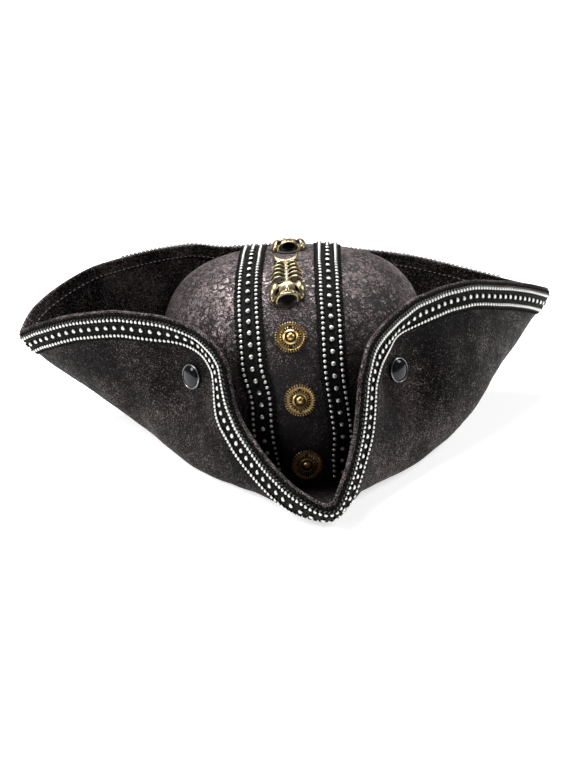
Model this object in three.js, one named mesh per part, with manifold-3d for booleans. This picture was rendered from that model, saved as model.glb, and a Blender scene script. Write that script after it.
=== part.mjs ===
// A tricorn hat of moulded leather: a hollow domed crown stands on a brim whose three sides are turned up
// into one wall, with a spout at the front and a point at each side. Woven ribbons run round the brim's edge
// and over the crown, three toothed buttons and two fishbone charms sit between them, and two snaps hold the
// front flaps to the crown. Millimetres, +Z up, the front is towards -Y.
import * as THREE from "three";
import { mergeVertices } from "three/addons/utils/BufferGeometryUtils.js";
import Module from "manifold-3d";

const wasm = await Module();
wasm.setup();

// Leather
const LEATHER = 2;
const CLEARANCE = 0.3;

// Head opening and crown
const HEAD_LENGTH = 200;
const HEAD_WIDTH = 169;
const CROWN_HEIGHT = 126;

// Brim: its longest reach from the middle of the head opening and its tallest edge over its underside
const BRIM_REACH = 200;
const BRIM_HEIGHT = 109.5;
const BRIM_SEAT = 1.5;
const HEM_WIDTH = 8.5;
const HEM_THICKNESS = 1;

// Ribbon, the same on the brim and on the crown
const RIBBON_WIDTH = 17;
const RIBBON_THICKNESS = 1;
const RIBBON_INSET = 2;
const RIBBON_RIB = 0.8;

// Buttons
const BUTTON_DIAMETER = 20.5;
const BUTTON_THICKNESS = 1.4;
const BUTTON_TEETH = 36;
const BUTTON_TOOTH = 0.9;
const BUTTON_BOSS = 8;
const BUTTON_DOME = 2;
const BUTTON_SIDES = 12;

// Snaps
const SNAP_CAP = 16.5;
const SNAP_SEAT = 1;
const SNAP_SIDES = 16;
const SNAP_DOME = 2.6;
const SNAP_RIM = 0.5;
const SNAP_POST = 4;
const SNAP_WASHER = 8;
const SNAP_WASHER_THICKNESS = 1;
const SNAP_SLACK = 0.8;
const SNAP_PULL = 27;

// Fishbone charms
const FISH_LENGTH = 56;
const FISH_HEAD_LENGTH = 23;
const FISH_HEAD_WIDTH = 23;
const FISH_HEAD_HEIGHT = 6;
const FISH_MOUTH_WIDTH = 14;
const FISH_MOUTH_DEPTH = 8;
const FISH_MOUTH_HEIGHT = 3.6;
const FISH_BONE = 2.4;
const FISH_RIBS = 5;
const FISH_RIB_STEP = 4.6;
const FISH_RIB_WIDTH = 1.8;
const FISH_RIB_LEAN = 30;
const FISH_RIB_TAPER = 0.09;
const FISH_TAIL_WIDTH = 19;
const FISH_TAIL_LENGTH = 7.6;

// Crown profile. Rise goes from the foot to the top as an angle whose sine is the height share.
// Length and width are shares of the crown's own length and width outside.
const CROWN_ROWS = [
  { rise: 0, length: 1, width: 1 },
  { rise: 10, length: 0.99, width: 1.02 },
  { rise: 20, length: 0.95, width: 1.04 },
  { rise: 33, length: 0.88, width: 1.04 },
  { rise: 46, length: 0.77, width: 0.98 },
  { rise: 58, length: 0.62, width: 0.86 },
  { rise: 70, length: 0.42, width: 0.65 },
  { rise: 80, length: 0.22, width: 0.37 },
  { rise: 90, length: 0, width: 0 },
];

// Brim sections round the hat. Angle is in degrees from the front, with the wearer's left side positive.
// Edge and fold are distances from the middle, as shares of the reach. Height and rise are the heights of the
// edge and of the fold, as shares of the brim's height.
const BRIM_ROWS = [
  { angle: -165, edge: 0.64, height: 0.9, fold: 0.66, rise: 0.03 },
  { angle: -150, edge: 0.655, height: 0.96, fold: 0.67, rise: 0.04 },
  { angle: -135, edge: 0.685, height: 0.97, fold: 0.695, rise: 0.08 },
  { angle: -122, edge: 0.76, height: 0.95, fold: 0.735, rise: 0.18 },
  { angle: -113, edge: 0.87, height: 0.845, fold: 0.815, rise: 0.33 },
  { angle: -107, edge: 0.945, height: 0.715, fold: 0.89, rise: 0.44 },
  { angle: -103, edge: 0.96, height: 0.64, fold: 0.905, rise: 0.46 },
  { angle: -98, edge: 0.89, height: 0.725, fold: 0.8, rise: 0.35 },
  { angle: -88, edge: 0.73, height: 0.865, fold: 0.66, rise: 0.23 },
  { angle: -76, edge: 0.59, height: 0.93, fold: 0.56, rise: 0.13 },
  { angle: -62, edge: 0.505, height: 0.935, fold: 0.52, rise: 0.075 },
  { angle: -48, edge: 0.485, height: 0.9, fold: 0.53, rise: 0.04 },
  { angle: -38, edge: 0.5, height: 0.855, fold: 0.565, rise: 0.035 },
  { angle: -31, edge: 0.53, height: 0.775, fold: 0.595, rise: 0.03 },
  { angle: -26, edge: 0.565, height: 0.51, fold: 0.625, rise: 0.025 },
  { angle: -19, edge: 0.62, height: 0.36, fold: 0.67, rise: 0.02 },
  { angle: -12, edge: 0.705, height: 0.262, fold: 0.74, rise: 0.02 },
  { angle: -6, edge: 0.79, height: 0.195, fold: 0.815, rise: 0.02 },
  { angle: 0, edge: 0.845, height: 0.15, fold: 0.85, rise: 0.02 },
  { angle: 4, edge: 0.805, height: 0.288, fold: 0.815, rise: 0.02 },
  { angle: 8, edge: 0.735, height: 0.472, fold: 0.775, rise: 0.02 },
  { angle: 12, edge: 0.66, height: 0.765, fold: 0.745, rise: 0.025 },
  { angle: 18, edge: 0.585, height: 0.9, fold: 0.7, rise: 0.03 },
  { angle: 26, edge: 0.535, height: 0.95, fold: 0.655, rise: 0.025 },
  { angle: 36, edge: 0.5, height: 0.98, fold: 0.63, rise: 0.025 },
  { angle: 48, edge: 0.485, height: 1, fold: 0.62, rise: 0.035 },
  { angle: 62, edge: 0.51, height: 1, fold: 0.655, rise: 0.065 },
  { angle: 76, edge: 0.585, height: 0.98, fold: 0.72, rise: 0.145 },
  { angle: 90, edge: 0.73, height: 0.883, fold: 0.8, rise: 0.28 },
  { angle: 98, edge: 0.855, height: 0.785, fold: 0.88, rise: 0.35 },
  { angle: 103, edge: 0.955, height: 0.697, fold: 0.93, rise: 0.42 },
  { angle: 106, edge: 1, height: 0.653, fold: 0.97, rise: 0.46 },
  { angle: 110, edge: 0.95, height: 0.668, fold: 0.92, rise: 0.42 },
  { angle: 120, edge: 0.785, height: 0.765, fold: 0.78, rise: 0.24 },
  { angle: 135, edge: 0.685, height: 0.834, fold: 0.705, rise: 0.09 },
  { angle: 155, edge: 0.65, height: 0.853, fold: 0.665, rise: 0.04 },
  { angle: 178, edge: 0.64, height: 0.883, fold: 0.655, rise: 0.03 },
];
// How near the brim's wall comes to the corner of its fold, from 0, a straight slope, to 1, a sharp corner
const FOLD_FULLNESS = 0.86;

// Ribbons and trims over the crown. Over is the angle over the top: 0 at the front foot, 90 at the top and
// 180 at the back foot. Apart is half the distance between the ribbons and sway is their shift to the
// wearer's left, both as shares of the crown's width.
const BAND_ROWS = [
  { over: 0, apart: 0.25, sway: -0.05 },
  { over: 9, apart: 0.26, sway: -0.065 },
  { over: 19, apart: 0.28, sway: -0.07 },
  { over: 31, apart: 0.28, sway: -0.09 },
  { over: 44, apart: 0.305, sway: -0.125 },
  { over: 58, apart: 0.31, sway: -0.115 },
  { over: 90, apart: 0.29, sway: -0.01 },
  { over: 180, apart: 0.29, sway: 0 },
];
// Buttons: angle over the crown's front
const BUTTON_ROWS = [
  { name: "button_upper", over: 50 },
  { name: "button_middle", over: 30.3 },
  { name: "button_lower", over: 7.5 },
];
// Fishbones: angle over the top of the mouth, which faces the front, and the shifts aside of the mouth and
// of the tail, as shares of the crown's width
const FISH_ROWS = [
  { name: "fish_front", over: 59, mouth: -0.12, tail: -0.06 },
  { name: "fish_rear", over: 87, mouth: -0.03, tail: 0.06 },
];
// Snaps: angle round the hat from the front and height as a share of the crown's height
const SNAP_ROWS = [
  { name: "snap_left", angle: -52, height: 0.5 },
  { name: "snap_right", angle: 39, height: 0.5 },
];
// Half of a fishbone's tail, from the spine's end out to its tip and back: shares of its width and length
const TAIL_ROWS = [
  { across: 0, along: 0 },
  { across: 0.26, along: 0.14 },
  { across: 0.42, along: 0.5 },
  { across: 0.5, along: 1 },
  { across: 0.25, along: 0.66 },
  { across: 0, along: 0.55 },
];
// Ribbon section: places across it as shares of its width and the height of its ribs there
const RIBBON_ROWS = [
  { across: -0.5, rib: 0 },
  { across: -0.35, rib: 1 },
  { across: 0, rib: 0.6 },
  { across: 0.35, rib: 1 },
  { across: 0.5, rib: 0 },
];

// Fineness
const CROWN_SIDES = 40;
const CROWN_RISES = [0, 12, 23, 34, 44, 53, 62, 70, 77, 84];
const STATION_STEP = 11;
const BAND_STEP = 9;
const BAND_END = 1.5;
const BRIM_STEPS = 5;
const DIFFERENCE = 0.01;
const HALVINGS = 40;

const CROWN_FOOT = LEATHER + CLEARANCE;
const CROWN_LENGTH = HEAD_LENGTH / 2 + LEATHER;
const CROWN_WIDTH = HEAD_WIDTH / 2 + LEATHER;
const RIBBON_END = RIBBON_INSET + RIBBON_WIDTH;

// A smooth curve through one column of a table that never swings past its rows. Period closes it on itself.
function curveThrough(rows, key, column, period = 0) {
  const turns = period ? [-1, 0, 1] : [0];
  const knots = turns.flatMap((turn) => rows.map((row) => ({ x: row[key] + turn * period, y: row[column] })));
  const chords = knots.slice(1).map((knot, i) => (knot.y - knots[i].y) / (knot.x - knots[i].x));
  const slopes = knots.map((knot, i) => {
    const before = chords[Math.max(i - 1, 0)];
    const after = chords[Math.min(i, chords.length - 1)];
    return before * after <= 0 ? 0 : (2 * before * after) / (before + after);
  });
  return (x) => {
    let i = 0;
    while (i < chords.length - 1 && x > knots[i + 1].x) i += 1;
    const width = knots[i + 1].x - knots[i].x;
    const t = (x - knots[i].x) / width;
    const rest = 1 - t;
    return (
      knots[i].y * (1 + 2 * t) * rest * rest +
      knots[i + 1].y * (3 - 2 * t) * t * t +
      width * t * rest * (slopes[i] * rest - slopes[i + 1] * t)
    );
  };
}

// How far a surface, given as a function of two values, moves for each unit of a small step in them
function difference(surface, u, v, du, dv) {
  return surface(u + du, v + dv).sub(surface(u - du, v - dv)).divideScalar(2 * DIFFERENCE);
}

function normalOf(surface, u, v) {
  return difference(surface, u, v, DIFFERENCE, 0).cross(difference(surface, u, v, 0, DIFFERENCE)).normalize();
}

// Joins rings of points into one closed surface. A closed row of rings meets itself, an open one is capped.
// Backward is for rings that run the other way round.
function loft(rings, closed, backward = false) {
  const corners = [];
  const count = rings[0].length;
  rings.forEach((ring, i) => {
    if (i === rings.length - 1 && !closed) return;
    const next = rings[(i + 1) % rings.length];
    ring.forEach((point, j) => {
      const k = (j + 1) % count;
      if (backward) corners.push(point, next[k], ring[k], point, next[j], next[k]);
      else corners.push(point, ring[k], next[k], point, next[k], next[j]);
    });
  });
  const first = rings[0];
  const last = rings[rings.length - 1];
  for (let j = 1; j < count - 1 && !closed; j += 1) {
    corners.push(first[0], first[j + 1], first[j], last[0], last[j], last[j + 1]);
  }
  return welded(new THREE.BufferGeometry().setFromPoints(corners));
}

// A geometry with shared corners and without the flat triangles that a pole leaves
function welded(geometry) {
  const bare = new THREE.BufferGeometry().setAttribute("position", geometry.getAttribute("position"));
  if (geometry.index) bare.setIndex(geometry.index);
  const merged = mergeVertices(bare, 1e-3);
  const kept = [];
  for (let i = 0; i < merged.index.count; i += 3) {
    const [a, b, c] = [0, 1, 2].map((corner) => merged.index.getX(i + corner));
    if (a !== b && b !== c && c !== a) kept.push(a, b, c);
  }
  return merged.setIndex(kept);
}

function manifoldOf(geometry) {
  const closed = welded(geometry);
  const vertProperties = new Float32Array(closed.getAttribute("position").array);
  const triVerts = new Uint32Array(closed.index.array);
  return new wasm.Manifold(new wasm.Mesh({ numProp: 3, vertProperties, triVerts }));
}

function geometryOf(manifold) {
  const { vertProperties, triVerts } = manifold.getMesh();
  const geometry = new THREE.BufferGeometry();
  geometry.setAttribute("position", new THREE.BufferAttribute(vertProperties, 3));
  return geometry.setIndex(new THREE.BufferAttribute(triVerts, 1));
}

// The crown's outer surface
const crownLengthShare = curveThrough(CROWN_ROWS, "rise", "length");
const crownWidthShare = curveThrough(CROWN_ROWS, "rise", "width");

function crownPoint(angle, rise) {
  const turn = THREE.MathUtils.degToRad(angle);
  return new THREE.Vector3(
    CROWN_WIDTH * crownWidthShare(rise) * Math.sin(turn),
    -CROWN_LENGTH * crownLengthShare(rise) * Math.cos(turn),
    CROWN_FOOT + CROWN_HEIGHT * Math.sin(THREE.MathUtils.degToRad(rise)),
  );
}

// The crown's outer surface again, from a distance aside and an angle over the top
function crownOver(aside, over) {
  const turn = THREE.MathUtils.degToRad(over);
  const way = new THREE.Vector3(0, -Math.cos(turn), Math.sin(turn));
  let inside = 0;
  let outside = CROWN_LENGTH + CROWN_HEIGHT;
  for (let i = 0; i < HALVINGS; i += 1) {
    const middle = (inside + outside) / 2;
    const height = (middle * way.z) / CROWN_HEIGHT;
    const rise = THREE.MathUtils.radToDeg(Math.asin(THREE.MathUtils.clamp(height, 0, 1)));
    const x = aside / (CROWN_WIDTH * crownWidthShare(rise));
    const y = (middle * way.y) / (CROWN_LENGTH * crownLengthShare(rise));
    if (height < 1 && x * x + y * y < 1) inside = middle;
    else outside = middle;
  }
  return way.multiplyScalar(inside).add(new THREE.Vector3(aside, 0, CROWN_FOOT));
}

// A point over the crown, lifted off its surface
function crownLifted(aside, over, lift) {
  const normal = normalOf((a, b) => crownOver(a, b), aside, over);
  return crownOver(aside, over).addScaledVector(normal, lift);
}

function crownRing(rise, lift) {
  return Array.from({ length: CROWN_SIDES }, (_, i) => {
    const angle = (360 * i) / CROWN_SIDES;
    const normal = normalOf(crownPoint, angle, rise);
    const point = crownPoint(angle, rise).addScaledVector(normal, lift);
    if (rise === 0) point.z = CROWN_FOOT;
    return point;
  });
}

// The crown: one moulded shell, domed at the top and open at its foot
function crownShell() {
  const pole = (lift) => Array(CROWN_SIDES).fill(new THREE.Vector3(0, 0, CROWN_FOOT + CROWN_HEIGHT + lift));
  const outer = CROWN_RISES.map((rise) => crownRing(rise, 0));
  const inner = CROWN_RISES.map((rise) => crownRing(rise, -LEATHER));
  return loft([pole(-LEATHER), ...inner.reverse(), ...outer, pole(0)], false);
}

// The brim's outer face: each section runs from its edge down the wall, round the fold and in to the seat
const brimShares = ["edge", "height", "fold", "rise"].map((column) =>
  curveThrough(BRIM_ROWS, "angle", column, 360),
);
const brimSections = new Map();

function ovalRadius(angle, halfLength, halfWidth) {
  const turn = THREE.MathUtils.degToRad(angle);
  return 1 / Math.hypot(Math.cos(turn) / halfLength, Math.sin(turn) / halfWidth);
}

function brimSection(angle) {
  if (!brimSections.has(angle)) {
    const [edge, height, fold, rise] = brimShares.map((share) => share(angle));
    const top = new THREE.Vector2(BRIM_REACH * edge, BRIM_HEIGHT * height);
    const corner = new THREE.Vector2(BRIM_REACH * fold, BRIM_HEIGHT * rise);
    const seat = new THREE.Vector2(ovalRadius(angle, CROWN_LENGTH, CROWN_WIDTH) + BRIM_SEAT, 0);
    const curve = new THREE.CubicBezierCurve(
      top,
      top.clone().lerp(corner, FOLD_FULLNESS),
      seat.clone().lerp(corner, FOLD_FULLNESS),
      seat,
    );
    curve.arcLengthDivisions = 100;
    brimSections.set(angle, curve);
  }
  return brimSections.get(angle);
}

// The share of a section, counted from its edge, at which it has come down to a height
function shareAtHeight(angle, height) {
  let above = 0;
  let under = 1;
  for (let i = 0; i < HALVINGS; i += 1) {
    const middle = (above + under) / 2;
    if (brimSection(angle).getPointAt(middle).y > height) above = middle;
    else under = middle;
  }
  return above;
}

// Each snap pulls the wall in until it lies along the crown, and the pull fades away round the snap
function pulledIn(angle, at) {
  const weight = SNAP_ROWS.reduce((sum, row) => {
    const around = THREE.MathUtils.degToRad(angle - row.angle) * CROWN_LENGTH;
    const away = (around ** 2 + (at.y - snapLevel(row)) ** 2) / SNAP_PULL ** 2;
    return sum + Math.exp(-(away ** 2));
  }, 0);
  const height = THREE.MathUtils.clamp((at.y - CROWN_FOOT) / CROWN_HEIGHT, 0, 1);
  const rise = THREE.MathUtils.radToDeg(Math.asin(height));
  const halfLength = CROWN_LENGTH * crownLengthShare(rise);
  const halfWidth = CROWN_WIDTH * crownWidthShare(rise);
  return weight * (at.x - ovalRadius(angle, halfLength, halfWidth) - LEATHER - SNAP_SLACK);
}

function snapLevel({ height }) {
  return CROWN_FOOT + CROWN_HEIGHT * height;
}

// A point on the brim's outer face, from its angle and its distance below the edge along the section
function brimPoint(angle, below) {
  const curve = brimSection(angle);
  const share = below / curve.getLength();
  const at = curve.getPointAt(THREE.MathUtils.clamp(share, 0, 1));
  return placed(angle, at.x - pulledIn(angle, at), at.y);
}

function placed(angle, radius, height) {
  const turn = THREE.MathUtils.degToRad(angle);
  return new THREE.Vector3(radius * Math.sin(turn), -radius * Math.cos(turn), height);
}

// A point off the brim's outer face. The normal is taken a little inside the section's ends.
function brimLifted({ angle, below }, lift) {
  const length = brimSection(angle).getLength();
  const inset = THREE.MathUtils.clamp(below, 2 * DIFFERENCE, length - 2 * DIFFERENCE);
  const normal = normalOf(brimPoint, angle, inset).negate();
  return brimPoint(angle, below).addScaledVector(normal, lift);
}

// Walks down the brim's outer face from its edge, square to the edge, a step of one millimetre at a time.
// The ribbon and the hem are laid along such lines, so they keep their width where the edge climbs.
function walkFromEdge(start) {
  const places = [{ angle: start, below: 0 }];
  let heading = null;
  for (let walked = 0; walked < RIBBON_END; walked += 1) {
    const { angle, below } = places[walked];
    const inset = Math.max(below, 2 * DIFFERENCE);
    const turn = difference(brimPoint, angle, inset, DIFFERENCE, 0);
    const fall = difference(brimPoint, angle, inset, 0, DIFFERENCE);
    const normal = turn.clone().cross(fall).normalize();
    heading = heading ?? fall.clone().addScaledVector(turn, -fall.dot(turn) / turn.lengthSq());
    heading.addScaledVector(normal, -heading.dot(normal)).normalize();
    const slant = turn.dot(fall);
    const area = turn.lengthSq() * fall.lengthSq() - slant * slant;
    const turned = (heading.dot(turn) * fall.lengthSq() - heading.dot(fall) * slant) / area;
    const fallen = (heading.dot(fall) * turn.lengthSq() - heading.dot(turn) * slant) / area;
    places.push({ angle: angle + turned, below: below + fallen });
  }
  return places;
}

// Angles of the brim's stations: between two rows of the table they lie about one step apart along the edge
function brimStations() {
  return BRIM_ROWS.flatMap((row, i) => {
    const next = BRIM_ROWS[(i + 1) % BRIM_ROWS.length].angle + (i === BRIM_ROWS.length - 1 ? 360 : 0);
    const run = brimPoint(row.angle, 0).distanceTo(brimPoint(next, 0));
    const steps = Math.max(1, Math.round(run / STATION_STEP));
    return Array.from({ length: steps }, (_, step) => row.angle + ((next - row.angle) * step) / steps);
  });
}

const STATIONS = brimStations().map(walkFromEdge);

// The place at a distance from the edge on a walk, between its two nearest steps
function placeOn(walk, distance) {
  const step = Math.min(Math.floor(distance), walk.length - 2);
  const part = distance - step;
  return {
    angle: THREE.MathUtils.lerp(walk[step].angle, walk[step + 1].angle, part),
    below: THREE.MathUtils.lerp(walk[step].below, walk[step + 1].below, part),
  };
}

// The brim: flat ring under the crown, fold, wall and a hem turned in along the edge, as one closed section
function brimRing(walk) {
  const { angle, below } = placeOn(walk, RIBBON_END);
  const length = brimSection(angle).getLength();
  const rest = Array.from({ length: BRIM_STEPS }, (_, i) => {
    return { angle, below: THREE.MathUtils.lerp(below, length, (i + 1) / BRIM_STEPS) };
  });
  const hem = LEATHER + HEM_THICKNESS;
  const opening = ovalRadius(angle, HEAD_LENGTH / 2, HEAD_WIDTH / 2);
  const edge = placeOn(walk, 0);
  return [
    brimLifted(edge, -hem / 2).add(new THREE.Vector3(0, 0, HEM_THICKNESS)),
    ...[0, RIBBON_INSET, RIBBON_INSET + RIBBON_WIDTH / 2, RIBBON_END].map((distance) => {
      return brimLifted(placeOn(walk, distance), 0);
    }),
    ...rest.map((place) => brimLifted(place, 0)),
    placed(angle, opening, 0),
    placed(angle, opening, LEATHER),
    ...rest.toReversed().map((place) => brimLifted(place, -LEATHER)),
    brimLifted(placeOn(walk, HEM_WIDTH + HEM_THICKNESS), -LEATHER),
    brimLifted(placeOn(walk, HEM_WIDTH), -hem),
    brimLifted(edge, -hem),
  ];
}

// The ribbon round the brim's outer face, a closed loop with ribs under its rows of beads
function brimTrimRing(walk) {
  const place = (across) => placeOn(walk, RIBBON_INSET + RIBBON_WIDTH * (across + 0.5));
  return [
    ...[-0.5, 0, 0.5].map((across) => brimLifted(place(across), CLEARANCE)),
    ...RIBBON_ROWS.toReversed().map(({ across, rib }) => {
      return brimLifted(place(across), CLEARANCE + RIBBON_THICKNESS + rib * RIBBON_RIB);
    }),
  ];
}

// A ribbon over the crown from foot to foot. Side is -1 for the wearer's right and 1 for the left.
const bandApart = curveThrough(BAND_ROWS, "over", "apart");
const bandSway = curveThrough(BAND_ROWS, "over", "sway");

function bandMiddle(side, over) {
  return CROWN_WIDTH * (bandSway(over) + side * bandApart(over));
}

function crownBand(side) {
  const length = Math.PI * (CROWN_LENGTH + CROWN_HEIGHT) * 0.5;
  const steps = Math.round(length / BAND_STEP);
  const rings = Array.from({ length: steps + 1 }, (_, i) => {
    const over = BAND_END + ((180 - 2 * BAND_END) * i) / steps;
    const place = (across, lift) => crownLifted(bandMiddle(side, over) + across * RIBBON_WIDTH, over, lift);
    return [
      ...RIBBON_ROWS.map(({ across, rib }) => place(across, CLEARANCE + RIBBON_THICKNESS + rib * RIBBON_RIB)),
      ...[0.5, 0, -0.5].map((across) => place(across, CLEARANCE)),
    ];
  });
  return loft(rings, false);
}

// A frame that stands on a surface: its Z axis is the normal and its Y axis points up the surface
function standing(point, normal, upward) {
  const up = upward.clone().addScaledVector(normal, -upward.dot(normal)).normalize();
  return new THREE.Matrix4().makeBasis(up.clone().cross(normal), up, normal).setPosition(point);
}

// A button: a toothed disc with a domed boss, sewn flat on the crown
function button({ over }) {
  const aside = CROWN_WIDTH * bandSway(over);
  const outline = new THREE.Shape(
    Array.from({ length: 2 * BUTTON_TEETH }, (_, i) => {
      const radius = BUTTON_DIAMETER / 2 - (i % 2) * BUTTON_TOOTH;
      const turn = (Math.PI * i) / BUTTON_TEETH;
      return new THREE.Vector2(radius * Math.cos(turn), radius * Math.sin(turn));
    }),
  );
  const disc = new THREE.ExtrudeGeometry(outline, { depth: BUTTON_THICKNESS, bevelEnabled: false });
  const dome = [0, 40].map((degrees) => {
    const turn = THREE.MathUtils.degToRad(degrees);
    return [(BUTTON_BOSS / 2) * Math.cos(turn), BUTTON_THICKNESS + BUTTON_DOME * Math.sin(turn)];
  });
  const root = BUTTON_THICKNESS / 2;
  const top = BUTTON_THICKNESS + BUTTON_DOME;
  const boss = turned([[0, root], [BUTTON_BOSS / 2, root], ...dome, [0, top]], BUTTON_SIDES);
  const whole = geometryOf(manifoldOf(disc).add(manifoldOf(boss)));
  const normal = normalOf(crownOver, aside, over);
  const point = crownOver(aside, over).addScaledVector(normal, CLEARANCE);
  return whole.applyMatrix4(standing(point, normal, new THREE.Vector3(0, 0, 1)));
}

// A turned shape about the Z axis, from radius and height pairs
function turned(profile, sides) {
  return new THREE.LatheGeometry(profile.map(([radius, height]) => new THREE.Vector2(radius, height)), sides)
    .rotateX(Math.PI / 2);
}

// A snap: a domed cap outside the brim on a post that runs through the brim and the crown to a plain washer
function snapFrame(row) {
  const { angle } = row;
  const place = { angle, below: shareAtHeight(angle, snapLevel(row)) * brimSection(angle).getLength() };
  const point = brimLifted(place, SNAP_SEAT);
  const normal = brimLifted(place, 1).sub(brimLifted(place, 0));
  return standing(point, normal, new THREE.Vector3(0, 0, 1));
}

const SNAP_REACH = SNAP_SEAT + 2 * LEATHER + 3 * SNAP_SLACK;

function snap(row) {
  const dome = [0, 30, 60].map((degrees) => {
    const turn = THREE.MathUtils.degToRad(degrees);
    return [(SNAP_CAP / 2) * Math.cos(turn), SNAP_RIM + (SNAP_DOME - SNAP_RIM) * Math.sin(turn)];
  });
  const profile = [
    [0, -SNAP_REACH - SNAP_WASHER_THICKNESS],
    [SNAP_WASHER / 2, -SNAP_REACH - SNAP_WASHER_THICKNESS],
    [SNAP_WASHER / 2, -SNAP_REACH],
    [SNAP_POST / 2, -SNAP_REACH],
    [SNAP_POST / 2, 0],
    [SNAP_CAP / 2, 0],
    ...dome,
    [0, SNAP_DOME],
  ];
  return turned(profile, SNAP_SIDES).applyMatrix4(snapFrame(row));
}

// Cuts the snaps' post holes through a shell
function withSnapHoles(geometry) {
  const radius = SNAP_POST / 2 + CLEARANCE;
  const holes = SNAP_ROWS.map((row) => {
    const drill = new THREE.CylinderGeometry(radius, radius, 4 * SNAP_REACH, SNAP_SIDES).rotateX(Math.PI / 2);
    return manifoldOf(drill.applyMatrix4(snapFrame(row)));
  });
  return geometryOf(holes.reduce((rest, hole) => rest.subtract(hole), manifoldOf(geometry)));
}

// A fishbone is drawn flat, X across, Y from its mouth to its tail and Z out of the surface, then bent over
// the crown.
function bentOver(geometry, { over, mouth, tail }) {
  const bent = welded(geometry);
  const corners = bent.getAttribute("position");
  for (let i = 0; i < corners.count; i += 1) {
    const turn = over + THREE.MathUtils.radToDeg(corners.getY(i) / CROWN_HEIGHT);
    const aside = CROWN_WIDTH * THREE.MathUtils.lerp(mouth, tail, corners.getY(i) / FISH_LENGTH);
    const point = crownLifted(aside + corners.getX(i), turn, CLEARANCE + corners.getZ(i));
    corners.setXYZ(i, point.x, point.y, point.z);
  }
  return manifoldOf(bent);
}

function fish(row) {
  const half = FISH_HEAD_LENGTH / 2;
  const head = new THREE.SphereGeometry(1, 12, 8).rotateX(Math.PI / 2);
  head.scale(FISH_HEAD_WIDTH / 2, half, FISH_HEAD_HEIGHT / 2).translate(0, half, FISH_HEAD_HEIGHT / 2);
  const mouth = new THREE.SphereGeometry(1, 10, 6);
  mouth.scale(FISH_MOUTH_WIDTH / 2, FISH_MOUTH_DEPTH, FISH_MOUTH_HEIGHT / 2);
  mouth.translate(0, 0, FISH_HEAD_HEIGHT / 2);
  const spineLength = FISH_LENGTH - FISH_HEAD_LENGTH;
  const spine = new THREE.BoxGeometry(FISH_BONE, spineLength, FISH_BONE, 1, 4, 1);
  spine.translate(0, FISH_LENGTH - spineLength / 2 - FISH_BONE, FISH_BONE / 2);
  const ribs = [-1, 1].flatMap((side) => Array.from({ length: FISH_RIBS }, (_, i) => {
    const length = (FISH_HEAD_WIDTH / 2) * (1 - FISH_RIB_TAPER * i);
    const rib = new THREE.BoxGeometry(length, FISH_RIB_WIDTH, FISH_RIB_WIDTH);
    rib.translate((side * length) / 2, 0, FISH_RIB_WIDTH / 2);
    rib.rotateZ(side * THREE.MathUtils.degToRad(FISH_RIB_LEAN));
    return rib.translate(0, FISH_HEAD_LENGTH + FISH_RIB_WIDTH + FISH_RIB_STEP * i, DIFFERENCE);
  }));
  const tail = [1, -1].flatMap((side) => {
    const rows = side > 0 ? TAIL_ROWS : TAIL_ROWS.slice(1, -1).reverse();
    return rows.map(({ across, along }) => {
      return new THREE.Vector2(side * across * FISH_TAIL_WIDTH, along * FISH_TAIL_LENGTH);
    });
  });
  const outline = new THREE.Shape(tail);
  const fin = new THREE.ExtrudeGeometry(outline, { depth: FISH_RIB_WIDTH, bevelEnabled: false });
  fin.translate(0, FISH_LENGTH - FISH_TAIL_LENGTH, 2 * DIFFERENCE);
  const bones = [spine, ...ribs, fin].map((bone) => bentOver(bone, row));
  const skull = bentOver(head, row).subtract(bentOver(mouth, row));
  return geometryOf(bones.reduce((whole, bone) => whole.add(bone), skull));
}

const leather = new THREE.MeshStandardMaterial({ color: 0x4a4244, roughness: 0.5, metalness: 0.3 });
const ribbon = new THREE.MeshStandardMaterial({ color: 0x141415, roughness: 0.7, metalness: 0 });
const brass = new THREE.MeshStandardMaterial({ color: 0x8a6a35, roughness: 0.45, metalness: 0.9 });
const enamel = new THREE.MeshStandardMaterial({ color: 0x0c0d10, roughness: 0.15, metalness: 0.2 });
const hat = new THREE.Group();

function add(name, geometry, material) {
  const mesh = new THREE.Mesh(geometry, material.clone());
  mesh.name = name;
  hat.add(mesh);
}

add("crown", withSnapHoles(crownShell()), leather);
add("brim", withSnapHoles(loft(STATIONS.map(brimRing), true)), leather);
add("brim_trim", loft(STATIONS.map(brimTrimRing), true, true), ribbon);
add("crown_band_left", crownBand(-1), ribbon);
add("crown_band_right", crownBand(1), ribbon);
BUTTON_ROWS.forEach((row) => add(row.name, button(row), brass));
FISH_ROWS.forEach((row) => add(row.name, fish(row), brass));
SNAP_ROWS.forEach((row) => add(row.name, snap(row), enamel));

// The origin is the middle of the hat's footprint
const box = new THREE.Box3().setFromObject(hat);
const middle = box.getCenter(new THREE.Vector3());
hat.children.forEach((mesh) => mesh.geometry.translate(-middle.x, -middle.y, -box.min.z));

export default hat;
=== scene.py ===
import math
import bpy
import numpy as np
from mathutils import Matrix, Vector, noise


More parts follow.
